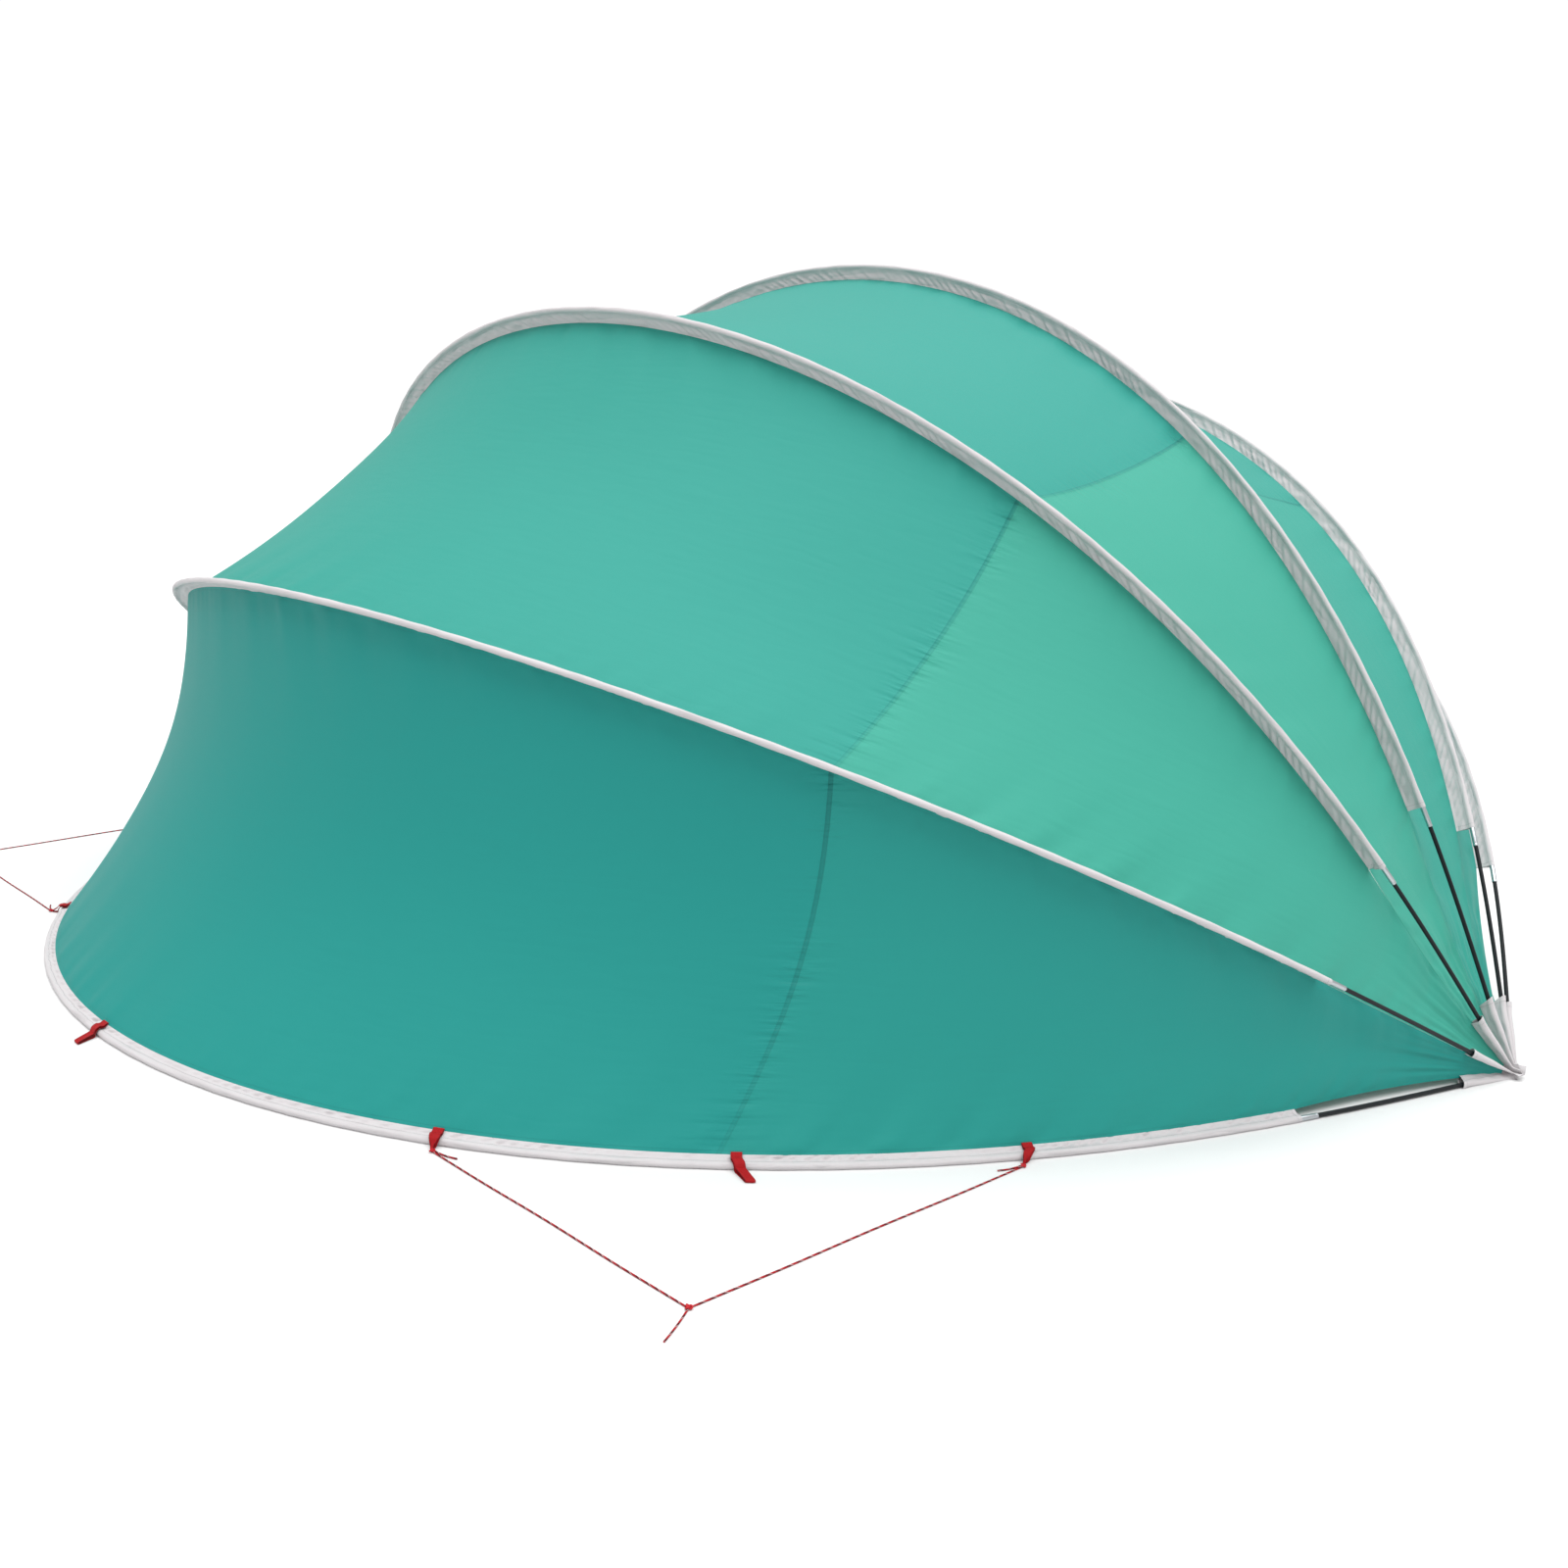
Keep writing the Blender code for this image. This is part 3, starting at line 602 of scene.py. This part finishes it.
def sea_green_polyester():
    """Thin woven cloth that lets a little light through. Its colour holds painted light and shade: the felled
    seams are a shade deeper, partly for their two layers of cloth and partly as painted shade that grows
    towards the upper edge of each width and fades on the lighter widths; each width is painted lighter or
    darker by how it faces the light, and lighter again beyond the cross seams, as painted light coming through
    the cloth."""
    material, tree, shader = new_finish(
        "sea_green_polyester", Sheen_Weight=0.05, Sheen_Roughness=0.4, Specular_IOR_Level=0.30,
    )
    place, along, across = surface_place(tree)
    weave = place_group(tree, WEAVE, Place=place, Pitch=0.0005)
    creases = place_group(tree, CREASES, Place=place)["Height"]
    edge, rise, roll = (attribute_value(tree, name) for name in ("edge", "rise", "roll"))
    off_seam = calc(tree, "ABSOLUTE", calc(tree, "SUBTRACT", calc(tree, "ABSOLUTE", along), SEAM_PLACE))
    tucks = place_group(tree, TUCKS, Place=place, Distance=off_seam)["Height"]
    felled = calc(tree, "LESS_THAN", off_seam, SEAM_HALF_WIDTH)
    # Painted shade at the felled seams: the two-layer darkening is scaled up towards the upper edge of each
    # width, and down where the roll attribute paints the width lighter.
    seam_shade_up_width = calc(tree, "MULTIPLY_ADD", rise, 0.75, 0.15)
    seam_shade_by_tone = calc(tree, "MULTIPLY_ADD", roll, -0.75, 1.0)
    seam_layers_and_shade = calc(tree, "MULTIPLY", felled, calc(tree, "MULTIPLY", seam_shade_up_width, seam_shade_by_tone))
    stitches = calc(
        tree, "MAXIMUM",
        place_group(tree, STITCHES, Distance=off_seam, Row=0.0036, Along=across)["Mask"],
        place_group(tree, STITCHES, Distance=edge, Row=0.006, Along=along)["Mask"],
    )
    clouds = noise(tree, place, 0.9)
    tone = calc(tree, "ADD", calc(tree, "MULTIPLY", clouds, 0.7), calc(tree, "MULTIPLY", weave["Slubs"], 0.3))
    # Painted light: first is the shaded green and second the lit green; the roll attribute picks between them
    # for each width and beyond the cross seams.
    first = shade(tree, None, (0.010, 0.295, 0.268), (0.016, 0.335, 0.305), tone)
    second = shade(tree, None, (0.048, 0.400, 0.302), (0.062, 0.440, 0.340), tone)
    cloth = shade(tree, None, first, second, roll)
    # The seam colour: two layers of cloth and painted shade together.
    seam_layers_and_shade_colour = shade(tree, None, cloth, (0.008, 0.215, 0.195), seam_layers_and_shade)
    shade(tree, shader, seam_layers_and_shade_colour, (0.012, 0.20, 0.18), calc(tree, "MULTIPLY", stitches, 0.40))
    roughen(tree, shader, weave["Slubs"], 0.15, 0.52)
    height = calc(tree, "MULTIPLY", weave["Height"], 0.00003)
    height = calc(tree, "MULTIPLY_ADD", creases, 0.0010, height)
    height = calc(tree, "MULTIPLY_ADD", tucks, 0.50, height)
    height = calc(tree, "MULTIPLY_ADD", seam_layers_and_shade, 0.0002, height)
    raise_surface(tree, shader, calc(tree, "MULTIPLY_ADD", stitches, -0.0002, height))
    through = tree.nodes.new("ShaderNodeBsdfTranslucent")
    shade_through = shade(tree, None, (0.05, 0.52, 0.38), (0.02, 0.25, 0.20), seam_layers_and_shade)
    tree.links.new(shade_through, through.inputs["Color"])
    both = tree.nodes.new("ShaderNodeMixShader")
    both.inputs[0].default_value = 0.22
    tree.links.new(shader.outputs[0], both.inputs[1])
    tree.links.new(through.outputs[0], both.inputs[2])
    tree.links.new(both.outputs[0], tree.nodes["Material Output"].inputs["Surface"])
    return material


def canopy_rows(number):
    """Shares of the arch for the cloth's rows: even steps, finer at the felled seams and at the mouths."""
    first = PANEL_FROM_CORNER / ARCHES[number]["length"]
    even = np.linspace(first, 1.0 - first, CANOPY_ROWS)
    fine = np.array((-14.0, -9.0, -7.3, -6.8, -4.0, 0.0, 4.0, 6.8, 7.3, 9.0, 14.0)) / 1000.0 / CANOPY_LENGTH
    near_seams = np.concatenate((SEAM_SHARE + fine, 1.0 - SEAM_SHARE - fine))
    mouths = np.array(SLEEVE_STARTS[number:number + 2])
    clear = even[np.abs(even[:, None] - near_seams).min(1) > 0.0006]
    return np.unique(np.concatenate((clear, near_seams, mouths, 1.0 - mouths)))


sea_green = sea_green_polyester()
for number in range(5):
    share = canopy_rows(number)
    k = np.linspace(0.0, 1.0, CANOPY_COLUMNS)
    t = (0.55 * k + 0.45 * (0.5 - 0.5 * np.cos(math.pi * k)))[None, :, None]
    lower = canopy_edge(number, share, 0.0 if number == 0 else 1.0)[:, None]
    upper = canopy_edge(number + 1, share, -1.0)[:, None]
    inward = unit(-(arch_axes(number)[0] * (1.0 - t) + arch_axes(number + 1)[0] * t))
    width = np.linalg.norm(upper - lower, axis=2, keepdims=True)
    saddle = lower * (1.0 - t) + upper * t + inward * SADDLE_DEPTHS[number] * width * 4.0 * t * (1.0 - t)
    normal = unit(np.cross(np.gradient(saddle, axis=1), np.gradient(saddle, axis=0)))
    low, high = (t * width)[..., 0], ((1.0 - t) * width)[..., 0]
    along = np.broadcast_to(((share - 0.5) * CANOPY_LENGTH)[:, None], low.shape)
    cloth = saddle + normal * canopy_relief(along, low, high, number)[..., None]
    faces, flat = wall_faces(*low.shape)
    edge = np.minimum(low, high)
    panel = make_piece(
        f"canopy_{number}_{number + 1}", np.stack((cloth + normal * CLOTH_HALF, cloth - normal * CLOTH_HALF)),
        faces, sea_green, flat, np.stack((along, low), -1), edge=np.stack((edge, edge)),
    )
    # Painted light: each point's tone between the shaded and the lit green, lighter beyond the cross seams,
    # stored as the roll attribute.
    beyond = np.clip((np.abs(along) - SEAM_PLACE) / 0.004 + 0.5, 0.0, 1.0)
    roll = PAINTED_LIGHT_TONES[number][0] + PAINTED_LIGHT_TONES[number][1] * beyond
    for label, value in (("rise", low / width[..., 0]), ("roll", roll)):
        layer = panel.data.attributes.new(label, "FLOAT", "POINT")
        layer.data.foreach_set("value", np.tile(value.ravel(), 2).astype(np.float32))
    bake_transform(panel)
    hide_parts(f"panel_{number}_{number + 1}")


# ---- Corner pockets ----
# Twelve flat tapered pockets of the same grey cloth, open at the mouth, where the pole's end sits.
# At each corner all six are sewn together, and their cut ends splay out past the stitching.
POCKET_PLAN = np.array((
    (0.022, 0.0020, 0.0230), (0.040, 0.0030, 0.0240), (0.060, 0.0044, 0.0250), (0.075, 0.0056, 0.0260),
    (0.090, 0.0066, 0.0270), (0.110, 0.0070, 0.0280), (0.130, 0.0076, 0.0290), (0.150, 0.0084, 0.0295),
    (0.158, 0.0090, 0.0294), (0.165, 0.0096, 0.0300),
))
POCKET_WALL, POCKET_FOLD = 0.0007, 0.0009
POCKET_STEPS, TAIL_STEPS = 46, 9
TAIL_RADII, TAIL_WIDTHS = (0.0011, 0.0016), (0.0190, 0.0230)
POCKET_SHIFT, SHIFT_FADE = 0.013, 0.15
PLEAT_DEPTH, MOUTH_SLANT, SLANT_REACH = 0.0010, 0.014, 0.03
POCKET_GAPS = (0.0003, 0.0007)


def teardrop(radius, width, end):
    """A circle and a small end drawn together by two straight flanks, counter-clockwise from the small end.
    The flanks leave the circle where its normal leans back by the arc sine of (radius - end) / width."""
    lean = np.arcsin(np.clip((radius - end) / np.maximum(width, 1e-6), 0.0, 0.95))[:, None]
    arc = np.linspace(-1.0, 1.0, 13) * (math.pi / 2.0 + lean)
    flank = np.linspace(0.0, 1.0, 6)[None, :-1]
    foot = math.pi / 2.0 + lean
    big_u, big_v = radius[:, None] * np.cos(foot), radius[:, None] * np.sin(foot)
    small_u, small_v = -width[:, None] + end * np.cos(foot), end * np.sin(foot)
    side_u, side_v = small_u * (1.0 - flank) + big_u * flank, small_v * (1.0 - flank) + big_v * flank
    u = np.concatenate((side_u, radius[:, None] * np.cos(arc), side_u[:, ::-1]), axis=1)
    v = np.concatenate((-side_v, radius[:, None] * np.sin(arc), side_v[:, ::-1]), axis=1)
    return u, v


def pocket_line(number):
    """The pocket's middle line and its inward direction: along the pole, then a smooth bend past the corner
    to its own splayed end."""
    length = ARCHES[number]["length"]
    steps = np.linspace(0.0, len(POCKET_PLAN) - 1.0, POCKET_STEPS)
    distance = np.interp(steps, np.arange(len(POCKET_PLAN)), POCKET_PLAN[:, 0])
    centre = along_arch(number, distance / length)[:, 0]
    inward = canopy_edge(number, distance / length, 0.0) - centre
    out = arch_axes(number)[0]
    corner = np.array((-CORNER_X, CORNER_Y, CORNER_Z))
    past = np.array((0.016 + 0.005 * ((number * 2) % 3), 0.0, -0.002))
    tip = corner + out * (0.009 + 0.003 * (number % 2)) - past
    bend = corner + out * 0.006
    s = np.linspace(0.0, 1.0, TAIL_STEPS + 1)[:-1, None]
    tail = tip * (1.0 - s) ** 2 + bend * 2.0 * s * (1.0 - s) + centre[0] * s * s
    inward = np.concatenate((np.repeat(inward[:1], TAIL_STEPS, axis=0), inward))
    return np.concatenate((tail, centre)), inward, distance


def line_metres(line):
    """How far along a line each of its points lies: the steps between neighbours, added up."""
    return np.concatenate(([0.0], np.cumsum(np.linalg.norm(np.diff(line, axis=0), axis=1))))


# Each pocket is worked out at the left corner. Its twin at the right is the same with X reversed, and
# with its faces turned so that they still point outwards.
for number, body in enumerate(BODIES):
    line, inward, distance = pocket_line(number)
    tangent = unit(np.gradient(line, axis=0))
    inward = unit(inward - tangent * (inward * tangent).sum(1, keepdims=True))
    flank = np.cross(tangent, -inward)
    places, radii, widths = POCKET_PLAN.T
    radius, width = (
        np.concatenate((np.linspace(*tail, TAIL_STEPS), np.interp(distance, places, along_pole)))
        for tail, along_pole in ((TAIL_RADII, radii), (TAIL_WIDTHS, widths))
    )
    metres = line_metres(line)
    from_tip = metres[:, None]
    u, v = teardrop(radius, width, POCKET_FOLD)
    outward = POCKET_SHIFT * np.clip(1.0 - from_tip / SHIFT_FADE, 0.0, 1.0)
    pleat = PLEAT_DEPTH * np.sin(from_tip * 150.0 + number) * np.sin(np.clip(-u / 0.02, 0.0, 1.0) * math.pi)
    near_mouth = np.clip((from_tip - metres[-1] + SLANT_REACH) / SLANT_REACH, 0.0, 1.0)
    slant = MOUTH_SLANT * near_mouth ** 2 * (-u / 0.026)
    inside = teardrop(np.maximum(radius - POCKET_WALL, 0.0005), np.maximum(width - POCKET_WALL, 0.003), 0.0004)
    outer, inner = (
        line[:, None] + (a + outward)[..., None] * -inward[:, None] + (b + pleat)[..., None] * flank[:, None]
        - slant[..., None] * tangent[:, None]
        for a, b in ((u, v), inside)
    )
    walls = np.stack((outer, inner))
    walls[..., 2] = np.maximum(walls[..., 2], np.array(POCKET_GAPS)[:, None, None])
    faces, flat = wall_faces(len(line), u.shape[1], around=True)
    to_mouth = np.tile(np.repeat(metres[-1] - metres, u.shape[1]), 2)
    for side, flip in (("left", 1.0), ("right", -1.0)):
        pocket = make_piece(
            f"cloth_pocket_{number}_{side}", walls * (flip, 1.0, 1.0), faces[:, ::int(flip)], pale_grey,
            flat[:, ::int(flip)], unroll(metres, outer), edge=to_mouth,
        )
        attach(pocket, body)
        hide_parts(f"pocket_{number}_{side}")


# ---- Peg loops ----
# Seven loops of 20 mm red webbing, sewn into the ground seam, folded over the sleeve and laid out on
# the ground for a peg. Those that hold a guy rope are shorter and drawn together where it is tied.
LOOP_SHARES = (0.196, 0.280, 0.363, 0.500, 0.637, 0.720, 0.804)
LOOP_SKEWS = (0.95, -0.44, -0.20, -0.44, 0.06, -0.24, -0.06)
WEBBING_HALF_WIDTH, WEBBING_HALF = 0.010, 0.0006
FREE_REACH, TIED_REACH = 0.050, 0.024
TIED_LOOPS = (0, 2, 4, 6)
TAPE_REST = -CORNER_Z + WEBBING_HALF + GROUND_GAP
KNOT_PAST_TIP = 0.0030
RIB_PITCH, SELVEDGE_AT = 0.0014, 0.0088


def loop_line(reach):
    """The tape's middle line, outward and up from the pole: over the sleeve, out on the ground and back."""
    half_way = (0.0138 + reach) / 2.0
    return np.array((
        (-0.0160, 0.0158), (-0.0078, 0.0100), (0.0000, 0.0108), (0.0068, 0.0086), (0.0108, 0.0020),
        (0.0138, TAPE_REST + 0.0004), (half_way, TAPE_REST), (reach - 0.002, TAPE_REST),
        (reach, TAPE_REST + 0.0020), (reach - 0.002, TAPE_REST + 0.0040), (half_way, TAPE_REST + 0.0062),
        (0.0160, TAPE_REST + 0.0082), (0.0134, 0.0056), (0.0094, 0.0114), (0.0000, 0.0142),
        (-0.0072, 0.0132), (-0.0150, 0.0174),
    ))


def closed_spline(points, steps):
    """A smooth closed line through the points: for each span, the cubic whose slopes at its two ends are
    half the way between their neighbours."""
    s = np.linspace(0.0, 1.0, steps, endpoint=False)[None, :, None]
    a, b, c, d = (np.roll(points, k, axis=0)[:, None] for k in (1, 0, -1, -2))
    line = b + 0.5 * s * (c - a + s * (2.0 * a - 5.0 * b + 4.0 * c - d + s * (3.0 * (b - c) + d - a)))
    return line.reshape(-1, points.shape[1])


def red_webbing():
    """Flat woven tape: ribs across it, a lengthwise grain, darker selvedges and slightly fuzzed crowns."""
    material, tree, shader = new_finish("red_webbing", Specular_IOR_Level=0.2)
    place, along, across = surface_place(tree)
    chevron = calc(tree, "MULTIPLY", calc(tree, "PINGPONG", across, 0.0025), 2.0 * math.pi / RIB_PITCH)
    rows = calc(tree, "MULTIPLY", along, 2.0 * math.pi / RIB_PITCH)
    ribs = calc(tree, "SINE", calc(tree, "ADD", rows, chevron))
    selvedge = calc(tree, "GREATER_THAN", calc(tree, "ABSOLUTE", across), SELVEDGE_AT)
    fuzz = noise(tree, place, 0.0015, (1.0, 3.0, 1.0), detail=3.0)
    cloth = shade(tree, None, (0.26, 0.003, 0.005), (0.46, 0.006, 0.010), calc(
        tree, "MULTIPLY_ADD", ribs, 0.25, calc(tree, "MULTIPLY", fuzz, 0.9)))
    shade(tree, shader, cloth, (0.26, 0.003, 0.006), selvedge)
    roughen(tree, shader, fuzz, 0.2, 0.55)
    height = calc(tree, "MULTIPLY", fuzz, 0.0002)
    raise_surface(tree, shader, calc(tree, "MULTIPLY_ADD", ribs, 0.00010, height))
    return material


red_tape = red_webbing()
loop_tips = []
for k, (share, skew) in enumerate(zip(LOOP_SHARES, LOOP_SKEWS)):
    centre, ahead = along_arch(0, np.array((share, share + 0.001)))[:, 0]
    along = unit(ahead - centre)
    away = np.array((-along[1], along[0], 0.0))
    tied = k in TIED_LOOPS
    reach = TIED_REACH if tied else FREE_REACH
    line = closed_spline(loop_line(reach), 6)
    step = np.roll(line, -1, axis=0) - np.roll(line, 1, axis=0)
    normal = unit(np.stack((step[:, 1], -step[:, 0]), 1))
    over, narrowed, cupped = (0.013, 0.70, 0.0016) if tied else (0.016, 0.12, 0.0007)
    gathered = np.clip((line[:, 0] - 0.006) / over, 0.0, 1.0)
    half_width = WEBBING_HALF_WIDTH * (1.0 - narrowed * gathered ** 2 * (3.0 - 2.0 * gathered))
    w = np.linspace(-1.0, 1.0, 9)
    shift = half_width[:, None] * w + skew * np.clip(line[:, :1], 0.0, 1.0)
    cup = cupped * gathered[:, None] * (w ** 2)
    layers = []
    for way in (1.0, -1.0):
        flat_line = line + way * WEBBING_HALF * normal
        up = np.maximum(flat_line[:, 1:] + cup, -CORNER_Z + GROUND_GAP)[..., None] * (0.0, 0.0, 1.0)
        layers.append(centre + shift[..., None] * along + flat_line[:, :1, None] * away + up)
    walls = np.stack(layers).transpose(0, 2, 1, 3)
    faces, flat = wall_faces(len(w), len(line), around=True)
    metres = line_metres(np.vstack((line, line[:1])))
    places = np.stack(np.broadcast_arrays(metres[None, :], (w * WEBBING_HALF_WIDTH)[:, None]), -1)
    if np.cross(away, (0.0, 0.0, 1.0)) @ along < 0.0:
        faces, flat = faces[:, ::-1], flat[:, ::-1]
    loop = make_piece(f"webbing_loop_{k + 1}", walls, faces, red_tape, flat, places)
    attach(loop, "ground_arch")
    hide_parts(f"peg_loop_{k + 1}")
    loop_tips.append(centre + away * (reach + KNOT_PAST_TIP) + along * skew * reach)


# ---- Guy ropes ----
# Two lengths of 3 mm braided cord, red with pale and dark flecks. Each is tied to two peg loops and
# lies loose on the ground; in its middle is an overhand knot, from which a short tail hangs out.
ROPE_RADIUS, ROPE_HEIGHT = 0.0015, 0.0018
KNOT_PLACE = (1.480, 1.930)
KNOT_BEND = 0.010
TAIL_WAY = (0.037, 0.080)
CORD_SIDES = 10
FLECK_PITCH, STRAND_PITCH = 0.0210, 0.0021
KNOT_STEP, KNOT_LIFT = 0.0012, 0.0022
KNOT_SIZE, KNOT_CORD = 0.0018, 0.0014
TIE_SIZE, TIE_CORD = 0.0016, 0.0013
WANDER, TAIL_BOW = 0.0012, 0.015


def braided_cord():
    """Braid: slanting stripes of red, dark red and pale pink along the cord, with a fine strand relief."""
    material, tree, shader = new_finish("braided_cord", Specular_IOR_Level=0.25)
    _, along, round_way = surface_place(tree)
    turns = calc(tree, "DIVIDE", round_way, 2.0 * math.pi * ROPE_RADIUS)
    stripe = calc(tree, "FRACT", calc(tree, "ADD", calc(tree, "DIVIDE", along, FLECK_PITCH), turns))
    strands = []
    for slope in (4.0, -4.0):
        steps = calc(tree, "DIVIDE", along, STRAND_PITCH)
        steps = calc(tree, "ADD", steps, calc(tree, "MULTIPLY", turns, slope))
        strands.append(calc(tree, "SINE", calc(tree, "MULTIPLY", steps, 2.0 * math.pi)))
    braid = calc(tree, "MULTIPLY", *strands)
    fleck = calc(tree, "ADD", stripe, calc(tree, "MULTIPLY", braid, 0.06))
    darker = calc(tree, "GREATER_THAN", fleck, 0.50)
    cord = shade(tree, None, (0.38, 0.008, 0.014), (0.11, 0.005, 0.009), darker)
    shade(tree, shader, cord, (0.50, 0.30, 0.30), calc(tree, "GREATER_THAN", fleck, 0.86))
    roughen(tree, shader, braid, 0.08, 0.70)
    raise_surface(tree, shader, calc(tree, "MULTIPLY", braid, 0.00012))
    return material


def plain_red_cord():
    """The same cord drawn tight in a knot, where only its red strands show."""
    material, tree, shader = new_finish("knotted_cord", Specular_IOR_Level=0.25)
    place = surface_place(tree)[0]
    strands = noise(tree, place, 0.0012, (2.5, 1.0, 1.0), turn=0.6, detail=3.0)
    shade(tree, shader, (0.34, 0.008, 0.014), (0.62, 0.030, 0.040), strands)
    roughen(tree, shader, strands, 0.2, 0.6)
    raise_surface(tree, shader, calc(tree, "MULTIPLY", strands, 0.0003))
    return material


def respaced(points, step):
    """The same line with points a step apart."""
    metres = line_metres(points)
    at = np.linspace(0.0, metres[-1], max(3, int(round(metres[-1] / step)) + 1))
    return np.stack([np.interp(at, metres, points[:, k]) for k in range(3)], 1), at


def cord_tube(name, points, radius, material, looped=False, step=0.003):
    """A round tube along a line: each ring lies across the line, with one side kept uppermost."""
    line, at = respaced(points, step)
    steps = np.roll(line, -1, axis=0) - np.roll(line, 1, axis=0) if looped else np.gradient(line, axis=0)
    tangent = unit(steps)
    sideways = unit(np.cross(tangent, (0.0, 0.0, 1.0)))
    raised = np.cross(sideways, tangent)
    turn = np.linspace(0.0, 2.0 * math.pi, CORD_SIDES, endpoint=False)[None, :, None]
    rings = line[:, None] + radius * (np.cos(turn) * raised[:, None] - np.sin(turn) * sideways[:, None])
    faces, flat = grid_faces(len(line), CORD_SIDES, around=True)
    caps = end_caps(len(line), CORD_SIDES)
    return make_piece(name, rings, faces, material, flat, unroll(at, rings), caps), line


def overhand_knot(middle, size, turned):
    """A trefoil: (sin a + 2 sin 2a, cos a - 2 cos 2a, -sin 3a), flattened and turned about the vertical."""
    a = np.linspace(0.0, 2.0 * math.pi, 160)
    x, y, z = np.sin(a) + 2.0 * np.sin(2.0 * a), np.cos(a) - 2.0 * np.cos(2.0 * a), -np.sin(3.0 * a)
    cos, sin = math.cos(turned), math.sin(turned)
    return np.stack((x * cos - y * sin, x * sin + y * cos, 0.85 * z), 1) * size + middle


def rope_route(start, knot, end):
    """Two nearly straight runs that meet in a round bend at the knot, with a slow sideways wander of about a
    millimetre: a sine that is nothing at the ends of each run. Also the place past the bend, for the tail."""
    to_start, to_end = (unit(p - knot) for p in (start, end))
    half = math.acos(float(np.clip(to_start @ to_end, -1.0, 1.0))) / 2.0
    middle = unit(to_start + to_end)
    centre = knot + middle * KNOT_BEND / math.sin(half)
    first, last = (knot + d * KNOT_BEND / math.tan(half) for d in (to_start, to_end))
    runs = []
    for a, b in ((start, first), (last, end)):
        s = np.linspace(0.0, 1.0, 60)[:, None]
        sideways = np.cross(b - a, (0.0, 0.0, 1.0)) / np.linalg.norm(b - a)
        runs.append(a + (b - a) * s + sideways * WANDER * np.sin(3.0 * math.pi * s) * np.sin(math.pi * s))
    s = np.linspace(0.0, 1.0, 14)[1:-1, None]
    bow = centre + unit(first * (1.0 - s) + last * s - centre) * KNOT_BEND
    return np.concatenate((runs[0], bow, runs[1])), centre - middle * (KNOT_BEND + 2.0 * ROPE_RADIUS + 0.0003)


fleck_cord, red_cord = braided_cord(), plain_red_cord()
for side, flip, first_loop, last_loop in (("left", -1.0, 2, 0), ("right", 1.0, 4, 6)):
    start, end = (np.array((*loop_tips[k][:2], ROPE_HEIGHT)) for k in (first_loop, last_loop))
    knot = np.array((flip * KNOT_PLACE[0], CORNER_Y + KNOT_PLACE[1], ROPE_HEIGHT))
    route, tail_start = rope_route(start, knot, end)
    rope, path = cord_tube(f"guy_cord_{side}", route, ROPE_RADIUS, fleck_cord)
    tail_way = np.array((flip * TAIL_WAY[0], TAIL_WAY[1], 0.0))
    s = np.linspace(0.0, 1.0, 20)[:, None]
    across_tail = np.array((-tail_way[1], tail_way[0], 0.0))
    tail_route = tail_start + tail_way * s + across_tail * TAIL_BOW * np.sin(math.pi * s)
    tail, tail_path = cord_tube(f"guy_cord_tail_{side}", tail_route, ROPE_RADIUS, fleck_cord)
    lift = np.array((0.0, 0.0, KNOT_LIFT))
    tied = overhand_knot(knot + lift, KNOT_SIZE, flip)
    bundle = [cord_tube(f"guy_knot_{side}", tied, KNOT_CORD, red_cord, True, KNOT_STEP)[0]]
    for place, toward, label in ((start, 1.0, "inner"), (end, -1.0, "outer")):
        heading = unit(knot - place)
        tied = overhand_knot(place + lift + heading * 0.004, TIE_SIZE, toward)
        bundle.append(cord_tube(f"guy_tie_{label}_{side}", tied, TIE_CORD, red_cord, True, KNOT_STEP)[0])
        sideways = np.array((-heading[1], heading[0], 0.0)) * -flip * toward
        short = place + heading * (0.006 + 0.048 * s) + sideways * (0.004 + 0.012 * s ** 2)
        short = short + (0.0, 0.0, 0.0001)
        bundle.append(cord_tube(f"guy_tie_end_{label}_{side}", short, ROPE_RADIUS, fleck_cord)[0])
    for piece in [rope, tail, *bundle]:
        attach(piece, "ground_arch")
    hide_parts(f"guy_rope_{side}")
    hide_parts(f"guy_tail_{side}")


# ---- Ground and light ----
# A plain pale studio floor, an even white surround and one broad soft light nearly overhead. The
# surround is a little brighter where the camera sees it, so that the floor runs into it.
FLOOR_HALF = 60.0
SURROUND, SEEN_BRIGHTER = 0.70, 0.35


def studio_floor():
    """Matt near-white paint with a faint mottle."""
    material, tree, shader = new_finish("studio_floor", Roughness=0.9)
    place = tree.nodes.new("ShaderNodeTexCoord").outputs["Object"]
    shade(tree, shader, (0.70, 0.70, 0.70), (0.74, 0.74, 0.74), noise(tree, place, 2.0))
    return material


floor_mesh = bpy.data.meshes.new("floor")
corners = [(x * FLOOR_HALF, y * FLOOR_HALF, 0.0) for x, y in ((-1, -1), (1, -1), (1, 1), (-1, 1))]
floor_mesh.from_pydata(corners, [], [(0, 1, 2, 3)])
floor_mesh.materials.append(studio_floor())
floor = new_object("floor", floor_mesh)

world = bpy.data.worlds.new("studio_surround")
world.use_nodes = True
world.node_tree.nodes["Background"].inputs["Color"].default_value = (1.0, 1.0, 1.0, 1.0)
seen = world.node_tree.nodes.new("ShaderNodeLightPath").outputs["Is Camera Ray"]
strength = calc(world.node_tree, "MULTIPLY_ADD", seen, SEEN_BRIGHTER, SURROUND)
world.node_tree.links.new(strength, world.node_tree.nodes["Background"].inputs["Strength"])
bpy.context.scene.world = world

lamp = new_object("soft_light", bpy.data.lights.new("soft_light", "SUN"))
lamp.data.energy = 3.3
lamp.data.angle = 1.4
lamp.rotation_euler = (math.radians(1.7), math.radians(-4.0), 0.0)
bpy.context.scene.view_settings.view_transform = "Standard"
